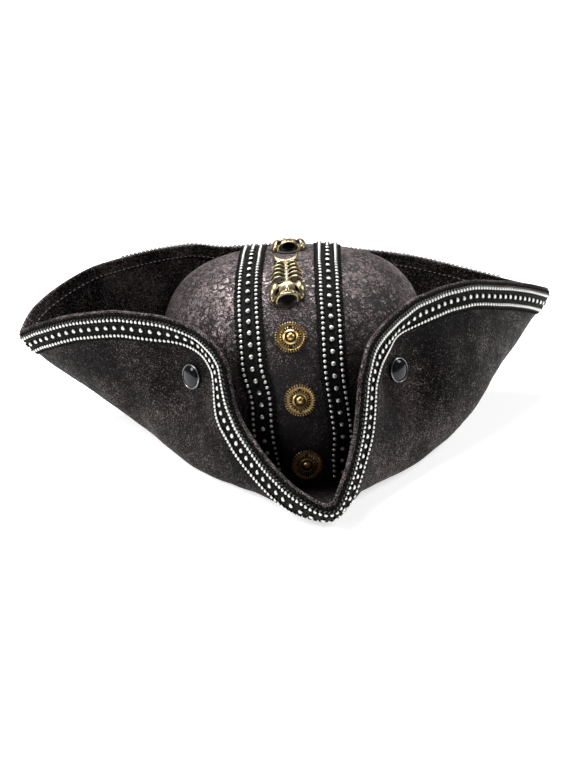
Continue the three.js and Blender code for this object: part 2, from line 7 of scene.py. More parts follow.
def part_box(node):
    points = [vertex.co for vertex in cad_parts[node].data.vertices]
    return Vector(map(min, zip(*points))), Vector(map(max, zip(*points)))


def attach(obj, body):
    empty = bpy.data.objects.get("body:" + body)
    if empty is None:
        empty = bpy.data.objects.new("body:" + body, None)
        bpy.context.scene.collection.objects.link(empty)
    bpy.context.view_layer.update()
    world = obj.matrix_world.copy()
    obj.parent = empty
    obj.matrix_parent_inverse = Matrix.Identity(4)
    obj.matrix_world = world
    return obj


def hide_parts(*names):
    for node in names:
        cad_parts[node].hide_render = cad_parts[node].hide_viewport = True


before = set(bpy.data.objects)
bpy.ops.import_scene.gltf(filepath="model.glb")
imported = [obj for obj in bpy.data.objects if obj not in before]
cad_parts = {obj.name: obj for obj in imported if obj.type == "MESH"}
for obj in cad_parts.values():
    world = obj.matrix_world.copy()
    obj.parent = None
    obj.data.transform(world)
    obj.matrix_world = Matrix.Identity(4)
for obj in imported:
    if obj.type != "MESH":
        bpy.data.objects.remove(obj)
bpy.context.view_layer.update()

# The photograph's viewpoint: a long lens, a little above the hat and a little to the wearer's right, with the
# camera tipped two degrees.
VIEW_AZIMUTH = math.radians(-6)
VIEW_ELEVATION = math.radians(20.5)
VIEW_ROLL = math.radians(2)
VIEW_DISTANCE = 1.15
VIEW_TARGET = Vector((-0.00899, 0.01116, 0.037))
VIEW_LENS = 78.7
back = Vector((math.sin(VIEW_AZIMUTH) * math.cos(VIEW_ELEVATION),
               -math.cos(VIEW_AZIMUTH) * math.cos(VIEW_ELEVATION), math.sin(VIEW_ELEVATION)))
level = Vector((math.cos(VIEW_AZIMUTH), math.sin(VIEW_AZIMUTH), 0))
upright = back.cross(level)
right = level * math.cos(VIEW_ROLL) - upright * math.sin(VIEW_ROLL)
lens = bpy.data.cameras.new("photo_view")
lens.sensor_fit = "VERTICAL"
lens.sensor_height = 36
lens.lens = VIEW_LENS
camera = bpy.data.objects.new("photo_view", lens)
bpy.context.scene.collection.objects.link(camera)
turn = Matrix((right, back.cross(right), back)).transposed().to_4x4()
camera.matrix_world = Matrix.Translation(VIEW_TARGET + back * VIEW_DISTANCE) @ turn
bpy.context.scene.camera = camera


# The studio: a pale floor that runs on as a backdrop, a soft box at each side, a large one overhead and a
# surround that looks white to the camera but gives little light.
# the floor's glow: from a first to a last distance in metres, and its strength at each
FLOOR_GLOW = (0.5, 3.0, 0.68, 1.0)
# the surround's strength as a light (for 0) and to the camera (for 1)
SURROUND_GLOW = (0, 1, 0.06, 1.0)
LIT_POINT = Vector((0, 0, 0.06))
SOFT_BOXES = (
    ("box_left", (-1.3, -0.15, 0.95), (0.45, 0.8), 16),
    ("box_right", (1.3, 0.0, 0.95), (0.4, 0.8), 10),
    ("box_top", (-0.1, 0.5, 1.45), (0.9, 0.5), 38),
)


def deselect():
    bpy.ops.object.select_all(action="DESELECT")


def pick(obj):
    deselect()
    obj.select_set(True)
    bpy.context.view_layer.objects.active = obj


def opened(obj):
    """Opens a mesh for editing, with all of it selected"""
    pick(obj)
    bpy.ops.object.mode_set(mode="EDIT")
    bpy.ops.mesh.select_all(action="SELECT")


def named(obj, name):
    obj.name = obj.data.name = name
    return obj


def ranged(nodes, limits):
    """A map range node with its four limits set"""
    made = nodes.new("ShaderNodeMapRange")
    for socket, value in zip(made.inputs[1:5], limits):
        socket.default_value = value
    return made


deselect()
bpy.ops.mesh.primitive_plane_add(size=14, location=(0, 0, -0.0002))
floor = named(bpy.context.object, "studio_floor")
paper = bpy.data.materials.new("pale_paper")
paper.use_nodes = True
nodes, links = paper.node_tree.nodes, paper.node_tree.links
shader = nodes["Principled BSDF"]
shader.inputs["Base Color"].default_value = (0.86, 0.86, 0.86, 1)
shader.inputs["Roughness"].default_value = 0.9
shader.inputs["Emission Color"].default_value = (1, 1, 1, 1)
place = nodes.new("ShaderNodeTexCoord")
reach = nodes.new("ShaderNodeVectorMath")
reach.operation = "LENGTH"
glow = ranged(nodes, FLOOR_GLOW)
links.new(place.outputs["Object"], reach.inputs[0])
links.new(reach.outputs["Value"], glow.inputs[0])
links.new(glow.outputs[0], shader.inputs["Emission Strength"])
floor.data.materials.append(paper)

for name, place, size, power in SOFT_BOXES:
    lamp = bpy.data.lights.new(name, "AREA")
    lamp.shape = "RECTANGLE"
    lamp.size, lamp.size_y = size
    lamp.energy = power
    soft_box = bpy.data.objects.new(name, lamp)
    soft_box.location = place
    soft_box.rotation_euler = (Vector(place) - LIT_POINT).to_track_quat("Z", "Y").to_euler()
    bpy.context.scene.collection.objects.link(soft_box)

surround = bpy.data.worlds.new("surround")
surround.use_nodes = True
nodes, links = surround.node_tree.nodes, surround.node_tree.links
nodes["Background"].inputs["Color"].default_value = (1, 1, 1, 1)
seen = nodes.new("ShaderNodeLightPath")
glow = ranged(nodes, SURROUND_GLOW)
links.new(seen.outputs["Is Camera Ray"], glow.inputs[0])
links.new(glow.outputs[0], nodes["Background"].inputs["Strength"])
bpy.context.scene.world = surround
bpy.context.scene.view_settings.view_transform = "Standard"

# The crown is one moulded leather shell, 2 mm thick, domed at the top and open at its foot. Its leather is a
# grey-brown with a pearly finish that has broken into a net of dark cracks.
MM = 0.001
LEATHER = 2
CLEARANCE = 0.3
HEAD_LENGTH = 200
HEAD_WIDTH = 169
CROWN_HEIGHT = 126
CROWN_FOOT = LEATHER + CLEARANCE
CROWN_LENGTH = HEAD_LENGTH / 2 + LEATHER
CROWN_WIDTH = HEAD_WIDTH / 2 + LEATHER
CROWN_SEGMENTS = 168
CROWN_RINGS = 128
CROWN_HALVINGS = 26
# rise, then length and width as shares of the crown's own
CROWN_ROWS = (
    (0, 1, 1), (10, 0.99, 1.02), (20, 0.95, 1.04), (33, 0.88, 1.04), (46, 0.77, 0.98),
    (58, 0.62, 0.86), (70, 0.42, 0.65), (80, 0.22, 0.37), (90, 0, 0),
)
low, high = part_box("crown")
HAT_MIDDLE = np.array([(low[0] + high[0]) / 2, (low[1] + high[1]) / 2, 0])


def curve_through(rows, column, period=0):
    """A smooth curve through one column of a table that never swings past its rows"""
    turns = (-1, 0, 1) if period else (0,)
    x = np.array([row[0] + turn * period for turn in turns for row in rows], float)
    y = np.array([row[column] for turn in turns for row in rows], float)
    chords = np.diff(y) / np.diff(x)
    before = np.append(chords[0], chords)
    after = np.append(chords, chords[-1])
    same_way = before * after > 0
    slopes = np.where(same_way, 2 * before * after / np.where(same_way, before + after, 1), 0)

    def value(at):
        i = np.clip(np.searchsorted(x, at, side="left") - 1, 0, len(chords) - 1)
        width = x[i + 1] - x[i]
        t = (at - x[i]) / width
        rest = 1 - t
        return (y[i] * (1 + 2 * t) * rest ** 2 + y[i + 1] * (3 - 2 * t) * t ** 2
                + width * t * rest * (slopes[i] * rest - slopes[i + 1] * t))

    return value


crown_length_share = curve_through(CROWN_ROWS, 1)
crown_width_share = curve_through(CROWN_ROWS, 2)


def crown_over(aside, over):
    """The crown's outer surface from a distance aside and an angle over the top"""
    aside, over = np.broadcast_arrays(np.asarray(aside, float), np.asarray(over, float))
    turn = np.radians(over)
    inside = np.zeros(aside.shape)
    outside = np.full(aside.shape, float(CROWN_LENGTH + CROWN_HEIGHT))
    for _ in range(CROWN_HALVINGS):
        middle = (inside + outside) / 2
        height = middle * np.sin(turn) / CROWN_HEIGHT
        rise = np.degrees(np.arcsin(np.clip(height, 0, 1)))
        x = aside / np.maximum(CROWN_WIDTH * crown_width_share(rise), 1e-6)
        y = middle * np.cos(turn) / np.maximum(CROWN_LENGTH * crown_length_share(rise), 1e-6)
        within = (height < 1) & (x * x + y * y < 1)
        inside = np.where(within, middle, inside)
        outside = np.where(within, outside, middle)
    return np.stack([aside, -inside * np.cos(turn), CROWN_FOOT + inside * np.sin(turn)], -1)


def unit(vectors):
    return vectors / np.maximum(np.linalg.norm(vectors, axis=-1, keepdims=True), 1e-12)


def crown_normal(aside, over):
    step = 0.2
    across = crown_over(aside + step, over) - crown_over(aside - step, over)
    along = crown_over(aside, over + step) - crown_over(aside, over - step)
    return unit(np.cross(across, along))


def crown_lifted(aside, over, lift):
    return crown_over(aside, over) + crown_normal(aside, over) * np.asarray(lift)[..., None]


def placed(points):
    """From millimetres about the head opening's middle to metres in the part's frame"""
    return np.asarray(points) * MM + HAT_MIDDLE


def set_points(mesh, points):
    mesh.vertices.foreach_set("co", np.asarray(points, np.float32).ravel())
    mesh.update()


def points_of(mesh):
    co = np.empty(len(mesh.vertices) * 3, np.float32)
    mesh.vertices.foreach_get("co", co)
    return co.reshape(-1, 3).astype(float)


def store(mesh, name, values):
    """Keeps one number for each corner of a mesh, for its material to read"""
    mesh.attributes.new(name, "FLOAT", "POINT").data.foreach_set("value", np.asarray(values, np.float32))


def apply_all(obj):
    pick(obj)
    for modifier in list(obj.modifiers):
        bpy.ops.object.modifier_apply(modifier=modifier.name)
    return obj


def smooth(obj, angle=None):
    pick(obj)
    if angle is None:
        bpy.ops.object.shade_smooth()
    else:
        bpy.ops.object.shade_smooth_by_angle(angle=math.radians(angle))
    return obj


def tidy_mesh(obj, merge=2e-6):
    """Merges doubles and turns all faces outwards"""
    opened(obj)
    bpy.ops.mesh.remove_doubles(threshold=merge)
    bpy.ops.mesh.normals_make_consistent(inside=False)
    bpy.ops.object.mode_set(mode="OBJECT")
    return obj


def finish_piece(obj, material, slot, *nodes):
    obj.data.materials.clear()
    obj.data.materials.append(material)
    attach(obj, "root")
    if nodes:
        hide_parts(*nodes)


class Finish:
    """A procedural finish being mixed: its nodes are added and joined by short calls"""

    def __init__(self, name):
        self.material = bpy.data.materials.new(name)
        self.material.use_nodes = True
        self.tree = self.material.node_tree
        self.shader = self.tree.nodes["Principled BSDF"]

    def add(self, kind, settings=(), **sockets):
        made = self.tree.nodes.new("ShaderNode" + kind)
        for key, value in dict(settings).items():
            setattr(made, key, value)
        for key, value in sockets.items():
            self.join(value, self.socket(made, key))
        return made

    @staticmethod
    def socket(made, key):
        """An input by its place, as i0 or i1, or by its name with _ for each space"""
        if key[0] == "i" and key[1:].isdigit():
            return made.inputs[int(key[1:])]
        return made.inputs[key.replace("_", " ")]

    def join(self, value, socket):
        if isinstance(value, bpy.types.Node):
            value = value.outputs[0]
        if isinstance(value, bpy.types.NodeSocket):
            self.tree.links.new(value, socket)
        elif isinstance(value, (tuple, list)) and len(value) == 3 and socket.type == "RGBA":
            socket.default_value = (*value, 1)
        else:
            socket.default_value = value

    def place(self):
        return self.add("TexCoord").outputs["Object"]

    def stored(self, name):
        return self.add("Attribute", {"attribute_name": name}).outputs["Fac"]

    def grain(self, scale, detail, rough=0.5, at=None):
        made = self.add("TexNoise", Vector=at or self.place(), Scale=scale, Detail=detail, Roughness=rough)
        return made.outputs["Fac"]

    def sum(self, a, b, kind="ADD", clamp=False):
        return self.add("Math", {"operation": kind, "use_clamp": clamp}, i0=a, i1=b).outputs[0]

    def off(self, value, middle):
        """How far a value lies from a middle one"""
        return self.add("Math", {"operation": "ABSOLUTE"}, i0=self.sum(value, middle, "SUBTRACT")).outputs[0]

    def ramp(self, value, low, high, out_low=0.0, out_high=1.0):
        made = self.add("MapRange", {"clamp": True}, i0=value, i1=low, i2=high, i3=out_low, i4=out_high)
        return made.outputs[0]

    def blend(self, share, a, b):
        made = self.add("Mix", {"data_type": "RGBA"})
        self.join(share, made.inputs[0])
        self.join(a, made.inputs[6])
        self.join(b, made.inputs[7])
        return made.outputs[2]

    def relief(self, height, depth, strength, under=None):
        made = self.add("Bump", Height=height, Distance=depth, Strength=strength)
        if under is not None:
            self.join(under, made.inputs["Normal"])
        return made.outputs["Normal"]

    def done(self, **sockets):
        for key, value in sockets.items():
            self.join(value, self.socket(self.shader, key))
        return self.material


# the height in metres where the painted shade at the crown's foot starts, and where it is darkest
FOOT_PAINTED_SHADE = (0.108, 0.052)


def leather(name, ground, flake, crack_share, flakes, rough, gloss, foot=0.0, inner_flake_painted_light=None):
    """Coated leather: pearly flakes over a dark ground, cut by a net of fine cracks"""
    f = Finish(name)
    wander = f.grain(42, 3)
    wobble = f.add("TexNoise", Vector=f.place(), Scale=230, Detail=3).outputs["Color"]
    moved = f.add("VectorMath", {"operation": "MULTIPLY_ADD"}, i0=wobble, i1=(0.005,) * 3, i2=f.place())
    moved = moved.outputs[0]
    # a wandering net of cells, then scribbles and short dashes
    cells = f.add("TexVoronoi", {"feature": "DISTANCE_TO_EDGE"}, Vector=moved, Scale=190).outputs["Distance"]
    net = f.ramp(cells, 0.03, 0.17, 1, 0)
    scribble = f.ramp(f.off(f.grain(170, 3, 0.6, moved), 0.5), 0.012, 0.04, 1, 0)
    cracks = f.sum(f.sum(net, f.ramp(wander, 0.4, 0.52), "MULTIPLY"), scribble, "MAXIMUM")
    dashes = f.ramp(f.off(f.grain(420, 2, 0.6, moved), 0.5), 0.025, 0.07, 1, 0)
    dashes = f.sum(dashes, f.ramp(f.grain(260, 1), 0.44, 0.52), "MULTIPLY")
    cracks = f.sum(f.sum(cracks, dashes, "MAXIMUM"), crack_share, "MULTIPLY", clamp=True)
    # coarse flakes over fine grain and pores
    coarse = f.grain(1150, 2, 0.7)
    fine = f.grain(1500, 2, 0.6)
    pores = f.add("TexVoronoi", {"feature": "F1"}, Vector=f.place(), Scale=900).outputs["Distance"]
    cover = f.ramp(f.grain(28, 4, 0.6), 0.35, 0.65, flakes - 0.07, flakes + 0.05)
    # painted shade: fewer pearly flakes, so darker leather, towards the crown's foot
    if foot:
        rise = f.add("SeparateXYZ", Vector=f.place()).outputs["Z"]
        cover = f.sum(cover, f.ramp(rise, FOOT_PAINTED_SHADE[1], FOOT_PAINTED_SHADE[0], foot, 0), "SUBTRACT")
    if inner_flake_painted_light:
        # across is 0 at the brim's edge, about 0.45 under its ring and 0.97 on the lip of its hem
        across = f.stored("across")
        # painted light: the inner face gets a lighter flake than the outer face of the same leather
        inside = f.ramp(across, 0.44, 0.47)
        flake = f.blend(inside, flake, inner_flake_painted_light)
        # painted shade: fewer flakes low on the inner face, near the ring
        inner_painted_shade = f.sum(inside, f.ramp(across, 0.47, 0.75, 0.17, 0), "MULTIPLY")
        # painted highlight: more flakes along the lip of the hem
        lip = f.ramp(f.off(across, 0.97), 0.015, 0.045, 0.02, 0)
        # the outer face has fewer flakes near its top and more lower down
        cover = f.sum(f.sum(cover, lip), f.ramp(across, 0.08, 0.36, -0.05, 0.03))
        cover = f.sum(cover, inner_painted_shade, "SUBTRACT")
    bright = f.ramp(f.sum(coarse, cover), 0.95, 1.13)
    bright = f.sum(bright, f.sum(1.0, cracks, "SUBTRACT"), "MULTIPLY")
    tone = f.blend(bright, ground, flake)
    dull = f.ramp(fine, 0.3, 0.7, rough - 0.1, rough + 0.12)
    dull = f.sum(dull, f.sum(cracks, 0.25, "MULTIPLY"), clamp=True)
    height = f.sum(f.sum(coarse, 0.5, "MULTIPLY"), f.sum(pores, 0.5, "MULTIPLY"))
    height = f.sum(height, f.sum(cracks, 1.2, "MULTIPLY"), "SUBTRACT")
    waves = f.relief(f.grain(60, 3), 0.0012, 0.5)
    return f.done(Base_Color=tone, Metallic=f.ramp(bright, 0, 1, 0.1, 0.75), Roughness=dull,
                  Specular_IOR_Level=gloss, Normal=f.relief(height, 0.0003, 0.8, waves))


# foot sets the painted shade towards the crown's foot
crown_leather = leather("crackled_leather", (0.007, 0.0046, 0.0052), (0.31, 0.243, 0.247),
                        crack_share=1.0, flakes=0.56, rough=0.4, gloss=0.3, foot=0.18)

deselect()
bpy.ops.mesh.primitive_uv_sphere_add(segments=CROWN_SEGMENTS, ring_count=CROWN_RINGS, radius=1)
crown = named(bpy.context.object, "crown_shell")
opened(crown)
bpy.ops.mesh.bisect(plane_co=(0, 0, 0), plane_no=(0, 0, 1), clear_inner=True)
bpy.ops.object.mode_set(mode="OBJECT")
ball = points_of(crown.data)
rise = np.degrees(np.arcsin(np.clip(ball[:, 2], 0, 1)))
around = unit(ball * (1, 1, 0))
dome = np.stack([around[:, 0] * CROWN_WIDTH * crown_width_share(rise),
                 around[:, 1] * CROWN_LENGTH * crown_length_share(rise),
                 CROWN_FOOT + CROWN_HEIGHT * ball[:, 2]], -1)
set_points(crown.data, placed(dome))
tidy_mesh(crown)
wall = crown.modifiers.new("leather", "SOLIDIFY")
wall.thickness = LEATHER * MM
wall.offset = -1
apply_all(crown)
smooth(crown, 50)
finish_piece(crown, crown_leather, "crown_leather", "crown")

# The brim is moulded leather too: a flat ring under the crown that sweeps up into one tall wall with a spout
# at the front and a point at each side. Its edge is folded over inwards as a hem and sewn down, and two snaps
# pull the front of the wall against the crown.
BRIM_REACH = 200
BRIM_HEIGHT = 109.5
BRIM_SEAT = 1.5
HEM_WIDTH = 8.5
HEM_THICKNESS = 1
HEM = LEATHER + HEM_THICKNESS
SNAP_PULL = 27
SNAP_SLACK = 0.8
FOLD_FULLNESS = 0.86
SECTION_STEPS = 100
# angle from the front, then radius and height of the wall's edge and of its fold, as shares of the brim's own
BRIM_ROWS = (
    (-165, 0.64, 0.9, 0.66, 0.03), (-150, 0.655, 0.96, 0.67, 0.04), (-135, 0.685, 0.97, 0.695, 0.08),
    (-122, 0.76, 0.95, 0.735, 0.18), (-113, 0.87, 0.845, 0.815, 0.33), (-107, 0.945, 0.715, 0.89, 0.44),
    (-103, 0.96, 0.64, 0.905, 0.46), (-98, 0.89, 0.725, 0.8, 0.35), (-88, 0.73, 0.865, 0.66, 0.23),
    (-76, 0.59, 0.93, 0.56, 0.13), (-62, 0.505, 0.935, 0.52, 0.075), (-48, 0.485, 0.9, 0.53, 0.04),
    (-38, 0.5, 0.855, 0.565, 0.035), (-31, 0.53, 0.775, 0.595, 0.03), (-26, 0.565, 0.51, 0.625, 0.025),
    (-19, 0.62, 0.36, 0.67, 0.02), (-12, 0.705, 0.262, 0.74, 0.02), (-6, 0.79, 0.195, 0.815, 0.02),
    (0, 0.845, 0.15, 0.85, 0.02), (4, 0.805, 0.288, 0.815, 0.02), (8, 0.735, 0.472, 0.775, 0.02),
    (12, 0.66, 0.765, 0.745, 0.025), (18, 0.585, 0.9, 0.7, 0.03), (26, 0.535, 0.95, 0.655, 0.025),
    (36, 0.5, 0.98, 0.63, 0.025), (48, 0.485, 1, 0.62, 0.035), (62, 0.51, 1, 0.655, 0.065),
    (76, 0.585, 0.98, 0.72, 0.145), (90, 0.73, 0.883, 0.8, 0.28), (98, 0.855, 0.785, 0.88, 0.35),
    (103, 0.955, 0.697, 0.93, 0.42), (106, 1, 0.653, 0.97, 0.46), (110, 0.95, 0.668, 0.92, 0.42),
    (120, 0.785, 0.765, 0.78, 0.24), (135, 0.685, 0.834, 0.705, 0.09), (155, 0.65, 0.853, 0.665, 0.04),
    (178, 0.64, 0.883, 0.655, 0.03),
)
# angle of each snap, and its height as a share of the crown's
SNAP_ROWS = (("snap_left", -52, 0.5), ("snap_right", 39, 0.5))
brim_shares = [curve_through(BRIM_ROWS, column, 360) for column in (1, 2, 3, 4)]


def oval_radius(angle, half_length, half_width):
    turn = np.radians(angle)
    return 1 / np.hypot(np.cos(turn) / half_length, np.sin(turn) / half_width)


def brim_section(angle):
    """The four control points, radius and height, of the wall's section at each angle"""
    edge, height, fold, rise = [share(angle) for share in brim_shares]
    top = np.stack([BRIM_REACH * edge, BRIM_HEIGHT * height], -1)
    corner = np.stack([BRIM_REACH * fold, BRIM_HEIGHT * rise], -1)
    seat = np.stack([oval_radius(angle, CROWN_LENGTH, CROWN_WIDTH) + BRIM_SEAT, np.zeros_like(edge)], -1)
    return top, top + (corner - top) * FOLD_FULLNESS, seat + (corner - seat) * FOLD_FULLNESS, seat


def bezier(controls, t):
    a, b, c, d = controls
    r = 1 - t
    return a * r ** 3 + 3 * b * r * r * t + 3 * c * r * t * t + d * t ** 3


def section_lengths(controls):
    t = np.linspace(0, 1, SECTION_STEPS + 1)[None, :, None]
    run = bezier([control[:, None, :] for control in controls], t)
    steps = np.linalg.norm(np.diff(run, axis=1), axis=-1)
    return np.concatenate([np.zeros((len(run), 1)), np.cumsum(steps, 1)], 1)


def section_at(angle, below):
    """Radius and height on the section, a distance below its edge"""
    controls = brim_section(angle)
    lengths = section_lengths(controls)
    target = np.clip(below, 0, lengths[:, -1])
    i = np.clip((lengths <= target[:, None]).sum(1) - 1, 0, SECTION_STEPS - 1)
    row = np.arange(len(i))
    part = (target - lengths[row, i]) / (lengths[row, i + 1] - lengths[row, i])
    return bezier(controls, ((i + part) / SECTION_STEPS)[:, None])


def snap_level(height):
    return CROWN_FOOT + CROWN_HEIGHT * height


def brim_at(angle, below):
    angle = np.asarray(angle, float)
    at = section_at(angle, np.asarray(below, float))
    weight = np.zeros(len(at))
    for _, snap_angle, height in SNAP_ROWS:
        around = np.radians(angle - snap_angle) * CROWN_LENGTH
        away = (around ** 2 + (at[:, 1] - snap_level(height)) ** 2) / SNAP_PULL ** 2
        weight += np.exp(-away ** 2)
    rise = np.degrees(np.arcsin(np.clip((at[:, 1] - CROWN_FOOT) / CROWN_HEIGHT, 0, 1)))
    against = oval_radius(angle, np.maximum(CROWN_LENGTH * crown_length_share(rise), 1),
                          np.maximum(CROWN_WIDTH * crown_width_share(rise), 1))
    radius = at[:, 0] - weight * (at[:, 0] - against - LEATHER - SNAP_SLACK)
    turn = np.radians(angle)
    return np.stack([radius * np.sin(turn), -radius * np.cos(turn), at[:, 1]], -1)


def brim_slopes(angle, below):
    """How the wall's outer face moves for a small turn and a small way down"""
    step = 0.02
    turn = (brim_at(angle + step, below) - brim_at(angle - step, below)) / (2 * step)
    fall = (brim_at(angle, below + step) - brim_at(angle, below - step)) / (2 * step)
    return turn, fall


def brim_normal(angle, below):
    length = section_lengths(brim_section(angle))[:, -1]
    turn, fall = brim_slopes(angle, np.clip(below, 0.05, length - 0.05))
    return unit(np.cross(fall, turn))


def along(points, closed):
    """Running length along a row of points"""
    after = np.roll(points, -1, 0) if closed else points[1:]
    before = points if closed else points[:-1]
    return np.concatenate([[0], np.cumsum(np.linalg.norm(after - before, axis=-1))])


# Stations lie evenly along the edge. From each, a walk goes down the wall, square to the edge, in 1 mm steps.
STATIONS = 2400
WALK = 20
EDGE_SAMPLES = 7200
turns = np.linspace(-180, 180, EDGE_SAMPLES + 1)[:-1]
edge_run = along(brim_at(turns, np.zeros(len(turns))), True)
station_turns = np.interp(np.linspace(0, edge_run[-1], STATIONS + 1)[:-1], edge_run, np.append(turns, 180))
walk_angles, walk_belows = [station_turns], [np.zeros(STATIONS)]
heading = None
for _ in range(WALK):
    angle, below = walk_angles[-1], walk_belows[-1]
    turn, fall = brim_slopes(angle, np.maximum(below, 0.05))
    normal = unit(np.cross(turn, fall))
    tt, ff, tf = (turn * turn).sum(-1), (fall * fall).sum(-1), (turn * fall).sum(-1)
    if heading is None:
        heading = fall - turn * (tf / tt)[:, None]
    heading = unit(heading - normal * (heading * normal).sum(-1)[:, None])
    ht, hf = (heading * turn).sum(-1), (heading * fall).sum(-1)
    area = tt * ff - tf ** 2
    walk_angles.append(angle + (ht * ff - hf * tf) / area)
    walk_belows.append(below + (hf * tt - ht * tf) / area)
walk_angles, walk_belows = np.array(walk_angles), np.array(walk_belows)
walk_points = np.array([brim_at(a, b) for a, b in zip(walk_angles, walk_belows)])
walk_normals = np.array([brim_normal(a, b) for a, b in zip(walk_angles, walk_belows)])


def on_walk(table, distance):
    i = int(min(math.floor(max(distance, 0)), WALK - 1))
    return table[i] + (table[i + 1] - table[i]) * (distance - i)


def on_brim(distance, lift, every=1):
    """A closed row of points at a distance from the edge, lifted off the wall's outer face"""
    points = on_walk(walk_points, distance) + unit(on_walk(walk_normals, distance)) * lift
    return points[::every]


def lofted(name, rows, closed_rows, closed_run):
    """A grid primitive laid on rows of points, with its UV map in metres along and across the rows"""
    rows = np.asarray(rows)
    if closed_rows:
        rows = np.concatenate([rows, rows[:1]])
    if closed_run:
        rows = np.concatenate([rows, rows[:, :1]], 1)
    across, run = rows.shape[:2]
    deselect()
    bpy.ops.mesh.primitive_grid_add(x_subdivisions=run - 1, y_subdivisions=across - 1, size=2, calc_uvs=True)
    obj = named(bpy.context.object, name)
    flat = points_of(obj.data)
    i = np.rint((flat[:, 0] + 1) / 2 * (run - 1)).astype(int)
    j = np.rint((flat[:, 1] + 1) / 2 * (across - 1)).astype(int)
    set_points(obj.data, placed(rows[j, i]))
    store(obj.data, "across", j / (across - 1))
    run_length = along(rows[len(rows) // 3], False) * MM
    width = np.concatenate([[0], np.cumsum(np.linalg.norm(np.diff(rows, axis=0), axis=-1).mean(1))]) * MM
    corner = np.empty(len(obj.data.loops), np.int32)
    obj.data.loops.foreach_get("vertex_index", corner)
    uv = np.stack([run_length[i[corner]], width[j[corner]]], -1)
    obj.data.uv_layers[0].data.foreach_set("uv", uv.astype(np.float32).ravel())
    return tidy_mesh(obj)


# The brim's closed section: down the outer face, under the ring, up the inner face, over the hem and the edge
BRIM_EVERY = 5
LOWER_ROWS = 30
EDGE_ROLL = 1.3
# shallow dents of two widths in the wall, which fade out round the snaps, all in mm
DENT_WIDTHS = (34, 15)
DENT_DEPTH = 1.1
CALM_REACH = 20
CALM_HEIGHT = 65
CALM_PER_DEGREE = 1.8


def dents(points):
    wide, fine = DENT_WIDTHS
    shift = Vector((9, 4, 2))
    return np.array([noise.noise(Vector(point) / wide) + 0.5 * noise.noise(Vector(point) / fine + shift)
                     for point in points])


angles, belows = walk_angles[WALK - 1][::BRIM_EVERY], walk_belows[WALK - 1][::BRIM_EVERY]
lengths = section_lengths(brim_section(angles))[:, -1]
shares = np.linspace(0, 1, LOWER_ROWS + 1)[1:]
lower = [belows + (lengths - belows) * share for share in shares]
lower_points = [brim_at(angles, below) for below in lower]
lower_normals = [brim_normal(angles, below) for below in lower]
mouth = oval_radius(angles, HEAD_LENGTH / 2, HEAD_WIDTH / 2)
way_out = np.stack([np.sin(np.radians(angles)), -np.cos(np.radians(angles)), np.zeros(len(angles))], -1)
for k, share in enumerate(shares):
    calm = np.ones(len(angles))
    for _, snap_angle, _ in SNAP_ROWS:
        beside = (angles - snap_angle) * CALM_PER_DEGREE
        over = lower_points[k][:, 2] - CALM_HEIGHT
        calm *= 1 - np.exp(-(beside ** 2 + over ** 2) / CALM_REACH ** 2)
    depth = DENT_DEPTH * math.sin(math.pi * share) * calm * dents(lower_points[k])
    lower_points[k] = lower_points[k] + lower_normals[k] * depth[:, None]
upward = unit(on_brim(0, 0, BRIM_EVERY) - on_brim(1, 0, BRIM_EVERY))
rolled = []
for degrees in (165, 140, 115, 90, 65, 40, 15):
    turn = math.radians(degrees)
    sunk = HEM / 2 * (math.cos(turn) - 1)
    rolled.append(on_brim(0, sunk, BRIM_EVERY) + upward * EDGE_ROLL * math.sin(turn))
rows = [on_brim(d, 0, BRIM_EVERY) for d in (0, 0.8, 2, 4, 6, 8, 10, 12, 14, 16, 18, 19)]
rows += lower_points
rows += [way_out * (mouth + out)[:, None] + (0, 0, height)
         for out, height in ((0.6, 0), (0, 0.5), (0, LEATHER - 0.5), (0.6, LEATHER))]
rows += [point - normal * LEATHER for point, normal in zip(lower_points[-2::-1], lower_normals[-2::-1])]
rows += [on_brim(d, -LEATHER, BRIM_EVERY) for d in (18, 16, 14, 12, 10)]
rows += [on_brim(HEM_WIDTH + 0.3, -LEATHER, BRIM_EVERY), on_brim(HEM_WIDTH, -LEATHER - 0.6, BRIM_EVERY)]
rows += [on_brim(d, -HEM, BRIM_EVERY) for d in (HEM_WIDTH - 0.8, 6.4, 5, 3.5, 2, 0.8, 0)]
rows += rolled
brim = lofted("brim_shell", rows, True, True)
smooth(brim, 60)
# the inner face's lighter flake is painted light
brim_leather = leather("grained_leather", (0.0014, 0.0012, 0.0013), (0.19, 0.155, 0.148),
                       crack_share=0.6, flakes=0.45, rough=0.5, gloss=0.06, inner_flake_painted_light=(0.27, 0.22, 0.222))
finish_piece(brim, brim_leather, "brim_leather", "brim")

# The trim is a woven black ribbon with thin cords along it. Two rows of silver beads and a row of larger
# studs are sewn into it, and both its edges carry small picot loops.
RIBBON_MIDDLE = 9.9
BEAD = 2.65
BEAD_PITCH = 3.58
BEAD_ROW = 5.4
STUD = 3.4
BEAD_LIFT = 0.75 + BEAD * 0.28
STUD_FLATNESS = 0.78
STUD_LIFT = 0.95 + STUD * 0.12
STUD_PITCH = 7.85
PICOT_RADIUS = 0.95
PICOT_CORD = 0.45
PICOT_LIFT = 0.6
PICOT_PITCH = 3.4
STITCH_HALF_SIZES = (1.15, 0.36, 0.36)
WEAVE_TURNS = 5200
